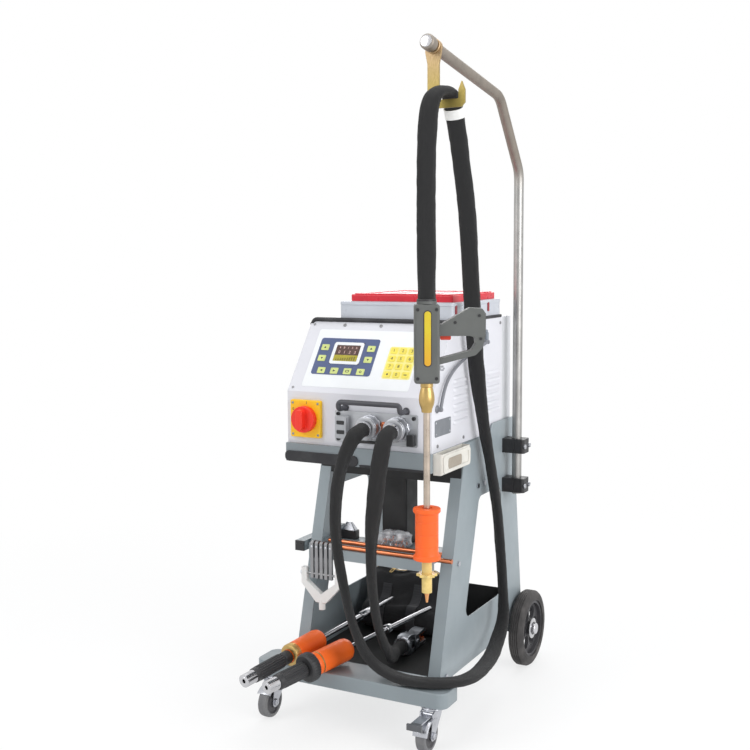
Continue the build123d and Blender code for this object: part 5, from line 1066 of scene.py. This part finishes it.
BAG_X = (-167, 59)
BAG_SECTION = ((51, 113), (50.5, 192), (90, 194), (117, 271), (175.5, 271), (175.5, 113))
BAG_MIDDLE = (118, 113)
BAG_WAVES = ((0.05, (0.016, 0.034, 0.034), 0), (0.02, (0.05, 0.06, 0.06), 9))
BAG_STEPS = 90
STRAP_SHARES = (0.3, 0.7)
STRAP_WALK = range(-9, 22)
STRAP_FROM = (118, 170)
STRAP_OFF = 1.6
ZIP_TOOTH = ((-1, -2.4), (1, -2.4), (1, 2.4), (-1, 2.4))
PARTS_MIDDLE = Vector((12, -75, 385.4))
PARTS_HALF = (49, 19.5)
PARTS_HIGH = 43
PARTS_STEPS = (64, 26)
PARTS_COUNT = 70
HEAP_HALF = (38, 12)
HEAP_FLOOR = 389.5
HEAP_HIGH = 20
HEAP_SPREAD = 46
MAGNET = (-129, -46, 385.1)
MAGNET_FOOT = (46, 23, 4, 0, 22)
MAGNET_CAP = ((40, 19, 3, 22), (14, 8, 2, 42))


def bag_point(y, z, x):
    """Gives a point of the tool bag's skin, drawn in at its ends and creased."""
    low_x, high_x = BAG_X
    share = 2 * (x - low_x) / (high_x - low_x) - 1
    girth = max(0.02, 1 - abs(share) ** 7) ** 0.3
    slump = 1 - 0.07 * math.cos(2.4 * share + 0.5) ** 2
    ripple = 1
    for deep, (fine_x, fine_y, fine_z), start in BAG_WAVES:
        ripple -= deep * abs(noise.noise(Vector((x * fine_x, y * fine_y, z * fine_z + start))))
    middle_y, floor_z = BAG_MIDDLE
    new_y = middle_y + (y - middle_y) * girth * ripple
    new_z = floor_z + (z - floor_z) * (0.25 + 0.75 * girth) * slump * ripple
    return mm(x, new_y, max(new_z, floor_z))


def belt(line, side, width, thick):
    """Sweeps a flat band along points, with its width along one side."""
    rings = []
    for _, point, ahead, *_ in frames_along(line):
        wide = (side - ahead * side.dot(ahead)).normalized() * (width / 2 * MM)
        up = ahead.cross(wide).normalized() * (thick / 2 * MM)
        rings.append([point - wide - up, point + wide - up, point + wide + up, point - wide + up])
    return rings, CAPPED


def make_tool_bag():
    loop = [(spot.y, spot.z) for spot in smooth_line([(0, *spot) for spot in BAG_SECTION], 10, True)]
    low_x, high_x = BAG_X
    turns = [math.pi * k / BAG_STEPS for k in range(BAG_STEPS + 1)]
    across = [low_x + (high_x - low_x) * 0.5 * (1 - math.cos(turn)) for turn in turns]
    rings = [[bag_point(y, z, x) for y, z in loop] for x in across]
    bag = piece("soft_tool_bag", "black_fabric", (rings, CAPPED), angle=70.0, instead_of="tool_bag")
    top = max(loop, key=lambda spot: spot[1])
    zip_line = [bag_point(*top, x) + mm(0, 0, 1) for x in across[10:-10]]
    straps = [belt(zip_line, Vector((0, 1, 0)), 15, 2.4)]
    front = min(range(len(loop)), key=lambda k: loop[k][0])
    walk = [loop[(front + k) % len(loop)] for k in STRAP_WALK]
    off = [Vector((0, y - STRAP_FROM[0], z - STRAP_FROM[1])).normalized() * STRAP_OFF * MM for y, z in walk]
    for share in STRAP_SHARES:
        x = low_x + (high_x - low_x) * share
        line = [bag_point(y, z, x) + lift for (y, z), lift in zip(walk, off)]
        straps.append(belt(line, Vector((1, 0, 0)), 25, 2.6))
    piece("tool_bag_straps", "webbing", *straps, slot="black_fabric")
    teeth = [slab(ZIP_TOOTH, -0.6, 0.8, facing(spot + mm(0, 0, 1.5), (0, 0, 1))) for spot in zip_line[:-1]]
    pull = facing(zip_line[len(zip_line) // 3] + mm(0, 0, 3.2), (0, -0.2, 1))
    teeth.append(border((9, 26, 3.5, (0, -12)), (4, 17, 1.6, (0, -13)), -0.9, 0.9, pull))
    piece("tool_bag_zip", "brass", *teeth)


def make_parts_bag():
    """A thin creased clear bag over a heap of washers and studs."""
    middle = PARTS_MIDDLE
    steps_u, steps_v = PARTS_STEPS
    rings = []
    for row in range(1, steps_v):
        rise = math.pi * row / steps_v
        ring = []
        for k in range(steps_u):
            turn = math.tau * k / steps_u
            away = Vector((math.cos(turn) * math.sin(rise), math.sin(turn) * math.sin(rise), -math.cos(rise)))
            crumple = noise.noise(away * 2.3 + Vector((4, 1, 7))) * 0.16
            ridges = abs(noise.noise(away * 5.1 + Vector((1, 8, 2)))) * 0.14
            reach = 0.93 + crumple - ridges
            x, y, z = (max(-1, min(1, powered(c, 0.62) * reach)) for c in away)
            out = Vector((PARTS_HALF[0] * x, PARTS_HALF[1] * y, PARTS_HIGH * (0.5 + 0.5 * z)))
            ring.append((middle + out) * MM)
        rings.append(ring)
    bag = piece("clear_parts_bag", "clear_bag", (rings, CAPPED), angle=80.0, instead_of="parts_bag")
    rand = random.Random(11)
    bright = []
    dark = []
    for k in range(PARTS_COUNT):
        x, y = (centre + rand.uniform(-half, half) for centre, half in zip(middle, HEAP_HALF))
        heap = HEAP_HIGH * (1 - ((x - middle.x) / HEAP_SPREAD) ** 2)
        z = HEAP_FLOOR + rand.uniform(0, 1) * heap
        lean = Vector((rand.uniform(-1, 1), rand.uniform(-1, 1), rand.uniform(0.2, 1)))
        place = facing(mm(x, y, z), lean)
        if k % 2:
            size = rand.uniform(3.6, 5.4)
            part = lathe(mirrored(((0.5 * size, -0.6), (size, -0.6))), place, 20)
        else:
            long = rand.uniform(4, 7)
            stud = [(0, -long), (1.4, -long), (1.4, long - 1.5), (2.6, long - 1.5), (2.6, long), (0, long)]
            part = lathe(stud, place, 12, OPEN)
        (bright if k % 3 else dark).append(part)
    piece("parts_bright", "zinc", *bright)
    piece("parts_dark", "copper", *dark)


def make_magnet():
    """A small magnetic stand: a dark foot with a bright four-sided cap."""
    place = upward(*MAGNET)
    piece("magnet_foot", "black_plastic", plate(*MAGNET_FOOT, place), bevel=1.2)
    cap = [[place @ mm(x, y, z) for x, y in round_rect(*size)] for *size, z in MAGNET_CAP]
    piece("magnet_cap", "zinc", (cap, CAPPED), bevel=0.8)


# Console, with places across and up its slope

SLOPE = facing(mm(0, -235, 778), (0, -161, 117))
FOIL_MIDDLE = (-15, 94)
FOIL_SIZE = (280, 158)
SCREEN = (-61, 107.5)
SCREEN_FRAME = ((79.6, 59.6, 6), (64, 44, 2), 1, 2.6)
SCREEN_FIELDS = (("top", "dark", 27, 8.5), ("foot", "olive", 17, -13.5))
SCREEN_ROWS = (("0123", 10.5, -21, 14, 2.5), ("48156", 8, -22, 11, 15))
SCREEN_BARS = [(3.4, 4 + 0.9 * k, 0.5, 1.7, 2.1, (-24 + 6 * k, -18 + 0.45 * k)) for k in range(9)]
NUMBER_KEYS = (84, 88)
NUMBER_PITCH = (23, 21)
NUMBER_ORDER = "123456789.0-"
ROW_KEYS = (-114.5, 59, 35)
SIDE_KEYS = ((-124, 92), (-124, 122), (0, 92), (0, 122))
SIGN_LIFT = 2.25
SIGN = (-0.2, 0.15)
BEAD_CORNER = 12
BEAD_SIDE = (-185, -119.5, 929)
BEAD_END = (-185, -124, 930)
TOP_SCREWS = ((-92, 186), (6, 186))
TOP_SCREW = (-0.4, 4.2, 2)
CORNER_SCREWS = ((-176, 10), (-176, 186), (176, 10), (176, 186))
CORNER_SCREW = (-0.4, 3.2, 1.6)


def key_signs():
    """The figures, arrows and signs on the console's keys."""
    low, high = SIGN
    pitch_x, pitch_s = NUMBER_PITCH
    signs = []
    for k, figure in enumerate(NUMBER_ORDER):
        x = NUMBER_KEYS[0] + pitch_x * (k % 3 - 1)
        spot = shifted(SLOPE, x, NUMBER_KEYS[1] + pitch_s * (1.5 - k // 3), SIGN_LIFT)
        if figure == ".":
            signs.append(lathe([(0, high), (2.2, high), (2.2, low)], spot, 20, OPEN))
        elif figure == "-":
            signs.append(plate(8, 2.2, 1, low, high, spot))
        else:
            signs.append(figures(figure, 11, spot, 0.3))
    first_x, row_s, row_pitch = ROW_KEYS
    spots = [shifted(SLOPE, first_x + row_pitch * k, row_s, SIGN_LIFT) for k in range(4)]
    signs.append(slab([(3, 3), (-3.4, 0), (3, -3)], low, high, spots[0]))
    signs.append(slab([(-3, -3), (3.4, 0), (-3, 3)], low, high, spots[1]))
    signs.append(border((9, 6, 1), (6.4, 3.4, 0.6), low, high, spots[2]))
    signs.append(lathe([(1.9, high), (3.2, high), (3.2, low), (1.9, low)], spots[3], 24))
    for k, (x, s) in enumerate(SIDE_KEYS):
        arrow = [(-3.2, -2.2), (3.2, -2.2), (0, 3)] if k % 2 else [(-3.2, 2.2), (0, -3), (3.2, 2.2)]
        signs.append(slab(arrow, low, high, shifted(SLOPE, x, s, SIGN_LIFT)))
    return signs


def make_screen():
    screen = shifted(SLOPE, *SCREEN)
    band = border(*SCREEN_FRAME, screen)
    piece("screen_frame", "white_foil", band, slot="housing_paint", bevel=0.4)
    for name, finish, high, middle in SCREEN_FIELDS:
        field = plate(64, high, 1.5, 0.6, 1.9, screen, (0, middle))
        piece(f"screen_{name}", f"screen_{finish}", field, slot="display", bevel=0.2)
    digits = []
    for row, size, first, pitch, middle in SCREEN_ROWS:
        for k, digit in enumerate(row):
            digits.append(figures(digit, size, shifted(screen, first + pitch * k, middle, 2), 0.25))
    piece("screen_figures", "screen_pink", *digits, slot="display")
    piece("screen_bars", "screen_bar", *plates(screen, SCREEN_BARS), slot="display")


def make_console():
    foil = plate(*FOIL_SIZE, 5, -0.4, 0.45, SLOPE, FOIL_MIDDLE)
    piece("console_foil", "white_foil", foil, slot="housing_paint", bevel=0.2)
    bed = plate(3 * NUMBER_PITCH[0] + 3, 4 * NUMBER_PITCH[1] + 2, 5, 0.2, 0.75, SLOPE, NUMBER_KEYS)
    piece("number_bed", "pale_yellow", bed, slot="key_yellow", bevel=0.2)
    piece("key_signs", "dark_ink", *key_signs(), slot="key_yellow")
    make_screen()
    left = [mm(*BEAD_END)]
    for k in range(7):
        turn = math.pi / 2 * k / 6
        left.append(mm(*BEAD_SIDE) + mm(1 - math.cos(turn), 0, math.sin(turn)) * BEAD_CORNER)
    bead = left + [Vector((-point.x, point.y, point.z)) for point in left[::-1]]
    piece("console_bead", "trim_rubber", tube(bead, 5.2, 14), slot="black_plastic", angle=60.0)
    heads = screws(SLOPE, TOP_SCREWS, *TOP_SCREW) + screws(SLOPE, CORNER_SCREWS, *CORNER_SCREW)
    piece("console_screws", "steel", *heads)


# Lower front, with places across it and up from the floor

FRONT = frontward(0, -235, 0)
SWITCH = (-134, 715)
SWITCH_TOP = 8.8
SWITCH_SCREWS = [(SWITCH[0] + x, SWITCH[1] + z) for x in (-34, 34) for z in (-37, 37)]
SWITCH_SCREW = (SWITCH_TOP, 3, 1.2)
SWITCH_SIGNS = (("0", -33, 22), ("1", 4, 38))
PLATE_TOP = 2.6
PLATE_SCREW = (PLATE_TOP, 4.6, 4.4)
SOCKETS = ((36, 706), (107, 706))
PLATE_SCREWS = ((-48, 732), (146, 732), (-48, 674), (146, 674))
SOCKET_NUT = ((25.6, 3), (29, 3), (30, 4.2), (30, 8), (28.8, 9.2), (25.6, 9.2))
SOCKET_RING = mirrored(((25.6, 21), (26.8, 21), (27.4, 22)), 49)
TERMINAL_BLOCK = (30, 52, 3, PLATE_TOP, 19, (-34, 703))
FRONT_BLOCKS = (
    (20, 9, 2, 18.6, 20.2, (-34, 714)),
    (20, 9, 2, 18.6, 20.2, (-34, 692)),
    (17, 17, 2, PLATE_TOP, 14, (76, 676)),
    (17, 26, 2, PLATE_TOP, 15, (141, 683)),
    (40, 6, 2, PLATE_TOP, 9, (30, 671)),
)
STRAP = (14, 40, 3, 2.8, 5.4, (71.5, 700))
STRAP_NUTS = ((71.5, 687, 5.2), (71.5, 713, 5.2))
STRAP_NUT = (5.4, 4, 1.8)
HANDLE_FEET = ((-30, 747), (126, 747))
HANDLE_FOOT = ((6.2, 0.2), (8.6, 0.2), (9, 1), (8.4, 2.6), (7.2, 3.6), (6.2, 3.6))


def make_front():
    piece("switch_screws", "steel", *screws(FRONT, SWITCH_SCREWS, *SWITCH_SCREW))
    switch = shifted(FRONT, *SWITCH, SWITCH_TOP + 0.3)
    signs = [figures(sign, 9, shifted(switch, *spot), 0.3) for sign, *spot in SWITCH_SIGNS]
    piece("switch_figures", "dark_ink", *signs, slot="yellow_plastic")
    piece("plate_screws", "black_plastic", *screws(FRONT, PLATE_SCREWS, *PLATE_SCREW))
    rings = []
    for spot in SOCKETS:
        rings.append(lathe(SOCKET_NUT, shifted(FRONT, *spot), 72, flutes=12, depth=1.6))
        rings.append(lathe(SOCKET_RING, shifted(FRONT, *spot), 60))
    piece("socket_rings", "zinc", *rings, bevel=0.4)
    piece("terminal_block", "socket_grey", *plates(FRONT, [TERMINAL_BLOCK]), slot="grey_plastic", bevel=1.0)
    piece("front_blocks", "black_plastic", *plates(FRONT, FRONT_BLOCKS), bevel=0.8)
    nuts = [hex_nut(shifted(FRONT, *spot), *STRAP_NUT) for spot in STRAP_NUTS]
    piece("socket_strap", "copper", *plates(FRONT, [STRAP]), *nuts, bevel=0.4)
    feet = [lathe(HANDLE_FOOT, shifted(FRONT, *spot), 36) for spot in HANDLE_FEET]
    piece("handle_feet", "handle_plastic", *feet, slot="black_plastic")


# Housing walls, with places along them and up from the floor

RIGHT_WALL = sideways(1, 188, 0, 0)
LEFT_WALL = facing(mm(-188, 0, 0), (-1, 0, 0), (0, -1, 0))
WALLS = ((RIGHT_WALL, 1), (LEFT_WALL, -1))
LOUVRE_PLACES = (-76, 125)
LOUVRE_LEVELS = [756 + 19 * (k - 2.5) for k in range(6)]
LOUVRE_HALF = 43
LOUVRE_STEPS = 24
LOUVRE_OUTSIDE = ((-2.6, 4.4), (0.4, 4.3), (3, 3.4), (5.2, 1.6), (6.4, -0.2))
LOUVRE_INSIDE = ((5.4, -0.2), (4.4, 0.6), (2.4, 2.4), (0.2, 3.4), (-2.6, 3.5))
WALL_SCREWS = ((-205, 668), (-60, 668), (60, 668), (170, 668), (-90, 925), (40, 925), (170, 925))
WALL_SCREW = (-0.3, 4, 2.2)
BLANK_PLATE = (86, 38, 4, -0.2, 1, (-176, 708))
RIVET_SPOTS = ((-213, 695), (-213, 721), (-139, 695), (-139, 721))
RIVET = ((2.4, 0.6), (2.4, 1.3), (1.6, 2), (0, 2.3))
CATCH = ((34, 16, 3, -0.2, 4, (64, 905)), (14, 24, 3, -0.2, 7, (72, 895)))
FILTER_PLACE = (0, 239, 844)
FILTER_SIZE = (226, 118)
FILTER_RIBS = (-75, -25, 25, 75)
RAIL_OUT = 197.5
RAIL_LINE = ((64, 884), (20, 876), (-69, 857), (-130, 838), (-172, 814), (-196, 782), (-208, 752))
RAIL_FOOT = ((0, 0), (9, 0), (9, 2), (6.4, 3.6), (5.2, 6), (5.2, 13), (4, 14.4), (0, 14.6))


def louvre(place):
    """One pressed hood: open below, round above, closing down at both ends."""
    rings = []
    for k in range(LOUVRE_STEPS + 1):
        x = LOUVRE_HALF * (2 * k / LOUVRE_STEPS - 1)
        rise = min(1.0, (LOUVRE_HALF - abs(x)) / 7 + 0.02) ** 0.5
        ring = [place @ mm(x, y, max(-0.2, z * rise)) for y, z in LOUVRE_OUTSIDE]
        ring += [place @ mm(x, y, max(-0.4, z * rise - 0.2)) for y, z in LOUVRE_INSIDE]
        rings.append(ring)
    return rings, CAPPED


def make_housing():
    hoods = []
    heads = []
    for wall, sign in WALLS:
        hoods += [louvre(shifted(wall, sign * y, z)) for y in LOUVRE_PLACES for z in LOUVRE_LEVELS]
        heads += screws(wall, [(sign * y, z) for y, z in WALL_SCREWS], *WALL_SCREW)
    piece("louvre_hoods", "housing_paint", *hoods, angle=50.0)
    piece("side_screws", "steel", *heads)
    blank = plates(RIGHT_WALL, [BLANK_PLATE])
    piece("side_plate_blank", "label_grey", *blank, slot="grey_plastic", bevel=0.3)
    rivets = [lathe(RIVET, shifted(RIGHT_WALL, *spot), 18, OPEN) for spot in RIVET_SPOTS]
    piece("side_plate_rivets", "zinc", *rivets)
    piece("side_catch", "grey_plastic", *plates(RIGHT_WALL, CATCH), bevel=0.8)
    make_vent_filter()
    make_side_rail()


def make_vent_filter():
    """A dark dust mat in a ribbed frame, inside the rear panel behind its slots."""
    place = facing(mm(*FILTER_PLACE), (0, 1, 0))
    wide, high = FILTER_SIZE
    mat = [plate(wide - 4, high - 4, 5, -0.8, 0.8, place)]
    mat.append(border((wide, high, 6), (wide - 14, high - 14, 3), -2, 3, place))
    mat += [plate(5, high - 10, 1.5, 0.6, 2.4, place, (x, 0)) for x in FILTER_RIBS]
    piece("vent_filter", "black_fabric", *mat, bevel=0.4)


def make_side_rail():
    """A bent grey tube along the housing's right side, on a foot at each end."""
    rail = [tube(smooth_line([mm(RAIL_OUT, y, z) for y, z in RAIL_LINE]), 3.8, 18)]
    rail += [lathe(RAIL_FOOT, sideways(1, 187.8, *RAIL_LINE[k]), 32, OPEN) for k in (0, -1)]
    piece("side_rail", "rail_grey", *rail, slot="grey_plastic", angle=50.0)


# Tray, pocket and case

TRAY_FRONT = frontward(0, -243, 0)
# Outline of a dark channel under the tray's front that stands in for the shade there.
SHADE_CHANNEL = (
    (-77, 558), (-53.4, 558), (-53.4, 561), (-74, 561), (-74, 609), (-53.4, 609), (-53.4, 612), (-77, 612),
)
SHADE_CHANNEL_HALF = 190.3
# Rows: a black band over the lip's left part, and a thin dark strip along the lip's foot on the right, which
# is painted shade under the lip.
TRAY_BAND_AND_SHADE = ((196, 25, 10, -0.3, 3.4, (-92.5, 624.6)), (178, 6, 2.6, -0.3, 1.8, (98, 615.2)))
POCKET = sideways(1, 213.5, -154, 631)
POCKET_RIM = ((150, 42, 9), (132, 26, 7), -0.3, 1.8)
POCKET_PANEL = (74, 24, 7, -0.2, 0.6, (-10, -1))
LID_TOP = upward(36.5, 45.2, 1001.3)
LID_RIM = ((263, 256, 16), (223, 212, 12), -0.3, 2.4)
LID_RIBS = [(9, 204, 3, -0.3, 1.6, (x, 0)) for x in (-56, 56)]
LID_WINDOW = (221, 210, 12, -0.2, 0.7)
CASE_MIDDLE = upward(36.5, 32, 0)
CASE_SIZE = (297, 292)
CASE_RIM_Z = (977, 983)
CASE_FOOT_BAND_Z = (938.6, 946)
LATCH = (9, 22, 2.4, -0.2, 2.6)
LATCHES = ((1, 185, -98), (1, 185, 96), (-1, -112, -98), (-1, -112, 96))
LATCH_Z = 968


def make_tray():
    # The band's thin right strip is painted shade under the tray's lip.
    piece("tray_band_and_shade", "trim_rubber", *plates(TRAY_FRONT, TRAY_BAND_AND_SHADE), slot="black_plastic", bevel=1.2)
    # A dark channel across the trolley under the tray: painted shade.
    shade_strip = slab(SHADE_CHANNEL, -SHADE_CHANNEL_HALF, SHADE_CHANNEL_HALF, sideways(1, 0, 0, 0))
    piece("shade_channel", "dark_paint", shade_strip, bevel=0.6)
    piece("pocket_rim", "cream_plastic", border(*POCKET_RIM, POCKET), bevel=0.6)
    piece("pocket_panel", "pocket_shade", *plates(POCKET, [POCKET_PANEL]), slot="cream_plastic", bevel=0.2)


def make_case():
    on_lid = {"body": "case_lid", "slot": "red_plastic"}
    rim = [border(*LID_RIM, LID_TOP), *plates(LID_TOP, LID_RIBS)]
    piece("lid_rim", "lid_plastic", *rim, bevel=0.8, **on_lid)
    piece("lid_window", "lid_window", plate(*LID_WINDOW, LID_TOP), bevel=0.3, **on_lid)
    wide, deep = CASE_SIZE
    inner = (wide - 1, deep - 1, 8)
    rim = border((wide + 3, deep + 3, 9), inner, *CASE_RIM_Z, CASE_MIDDLE)
    piece("case_rim", "case_plastic", rim, bevel=0.8)
    # A dark band round the case's foot, where it sits on the housing.
    foot_band = border((wide + 10, deep + 10, 10), inner, *CASE_FOOT_BAND_Z, CASE_MIDDLE)
    piece("case_foot_band", "trim_rubber", foot_band, slot="black_plastic", bevel=1.6)
    faces = [facing(mm(x, y, LATCH_Z), (side, 0, 0), (0, side, 0)) for side, x, y in LATCHES]
    latches = [plate(*LATCH, face) for face in faces]
    piece("case_latches", "latch_red", *latches, slot="red_plastic", bevel=0.7)


# Mast and comb

ARM_AHEAD = Vector((0, -390, 61)).normalized()
ARM_END = facing(mm(225, -326, 1527), ARM_AHEAD)
HOOK_COLLAR = mirrored(((12.05, 0), (15.2, 0), (16.2, 1)), 16)
END_DISC = ((11, -0.6), (12.5, -0.4), (12.5, 0.6), (10.6, 1.2), (3, 1.3), (3, 0.4), (0, 0.4))
HOOK_COLLAR_Z = -34
END_DISC_Z = 13
CLAMP_NUTS = [(251, y, z) for z in (511, 612) for y in (182, 212)]
CLAMP_NUT = (6.6, 4, 2.4)
COMB_RIVET = ((2.8, 0), (2.8, 0.6), (1.9, 1.3), (0, 1.5))
COMB_RIVETS = [(-160 + 13 * k, -180.1, 391) for k in range(5)]
COMB_NUTS = ((-1, -188, -176.7, 324), (1, -80, -176.7, 324))
COMB_NUT = (5.8, 4, 1.4)


def make_mast_parts():
    piece("hook_collar", "hook_zinc", lathe(HOOK_COLLAR, shifted(ARM_END, 0, 0, HOOK_COLLAR_Z)))
    piece("mast_end_disc", "chrome", lathe(END_DISC, shifted(ARM_END, 0, 0, END_DISC_Z), 40, OPEN))
    piece("mast_clamp_nuts", "zinc", *[hex_nut(sideways(1, *spot), *CLAMP_NUT) for spot in CLAMP_NUTS])
    comb = [lathe(COMB_RIVET, frontward(*spot), 18, OPEN) for spot in COMB_RIVETS]
    comb += [hex_nut(sideways(*spot), *COMB_NUT) for spot in COMB_NUTS]
    piece("comb_rivets", "zinc", *comb)


# Floor, background and light

FLOOR_HALF = 9.0
FLOOR_DROP = 0.0006
FLOOR_FADE = (0.5, 2.2, 0.72, 1.0)
SOFT_WORLD = {"Color": (0.96, 0.98, 1.0, 1.0), "Strength": 0.55}
WHITE = (1.0, 1.0, 1.0, 1.0)
LIT_MIDDLE = Vector((0, -0.05, 0.75))
LAMPS = {
    "key": ((-2.2, -3.0, 3.0), (2.2, 2.2), 52.0),
    "fill": ((3.4, -1.2, 1.9), (2.0, 2.4), 84.0),
    "top": ((0.2, 0.4, 4.2), (2.6, 2.6), 48.0),
    "back": ((-1.2, 3.6, 2.4), (2.2, 2.0), 40.0),
}


def seen_directly(tree):
    """Gives 1 for what the camera sees, straight or by reflection or through glass."""
    path = tree.nodes.new("ShaderNodeLightPath")
    total = path.outputs["Is Camera Ray"]
    for name in ("Is Glossy Ray", "Is Transmission Ray"):
        most = tree.nodes.new("ShaderNodeMath")
        most.operation = "MAXIMUM"
        tree.links.new(total, most.inputs[0])
        tree.links.new(path.outputs[name], most.inputs[1])
        total = most.outputs[0]
    return total


def make_world():
    world = bpy.data.worlds.new("studio")
    world.use_nodes = True
    tree = world.node_tree
    soft = tree.nodes["Background"]
    for socket, value in SOFT_WORLD.items():
        soft.inputs[socket].default_value = value
    white = tree.nodes.new("ShaderNodeBackground")
    white.inputs["Color"].default_value = WHITE
    mixed = tree.nodes.new("ShaderNodeMixShader")
    for k, source in enumerate((seen_directly(tree), soft.outputs[0], white.outputs[0])):
        tree.links.new(source, mixed.inputs[k])
    tree.links.new(mixed.outputs[0], tree.nodes["World Output"].inputs["Surface"])
    scene.world = world


def make_floor():
    corners = [(FLOOR_HALF * x, FLOOR_HALF * y, -FLOOR_DROP) for x, y in ((-1, -1), (1, -1), (1, 1), (-1, 1))]
    mesh = bpy.data.meshes.new("floor")
    mesh.from_pydata(corners, [], [range(len(corners))])
    s = Shader("floor", Roughness=0.8, Specular_IOR_Level=0.2, Base_Color=(0.9, 0.9, 0.9, 1.0))
    away = s.node("VectorMath", {0: s.place()}, operation="LENGTH").outputs["Value"]
    glow = s.node("Emission", {"Color": WHITE, "Strength": 1.0})
    share = s.math("MULTIPLY", s.span(away, *FLOOR_FADE), seen_directly(s.tree))
    mixed = s.node("MixShader", {0: share, 1: s.end.outputs[0], 2: glow.outputs[0]})
    s.feed(s.tree.nodes["Material Output"].inputs["Surface"], mixed.outputs[0])
    mesh.materials.append(s.material)
    floor = bpy.data.objects.new("floor", mesh)
    scene.collection.objects.link(floor)


def make_lights():
    for name, (place, (wide, high), power) in LAMPS.items():
        lamp = bpy.data.lights.new(name, "AREA")
        lamp.shape = "RECTANGLE"
        lamp.size = wide
        lamp.size_y = high
        lamp.energy = power
        light = bpy.data.objects.new(name, lamp)
        light.location = place
        light.rotation_mode = "QUATERNION"
        light.rotation_quaternion = (LIT_MIDDLE - Vector(place)).to_track_quat("-Z", "Y")
        scene.collection.objects.link(light)


# Everything in order

scene.view_settings.view_transform = "Standard"
make_camera()
make_looks()
make_leads()
dress_nodes()
make_rear_wheels()
make_casters()
make_gun()
make_pullers()
make_tool_bag()
make_parts_bag()
make_magnet()
make_console()
make_front()
make_housing()
make_tray()
make_case()
make_mast_parts()
make_world()
make_floor()
make_lights()
bpy.context.view_layer.update()
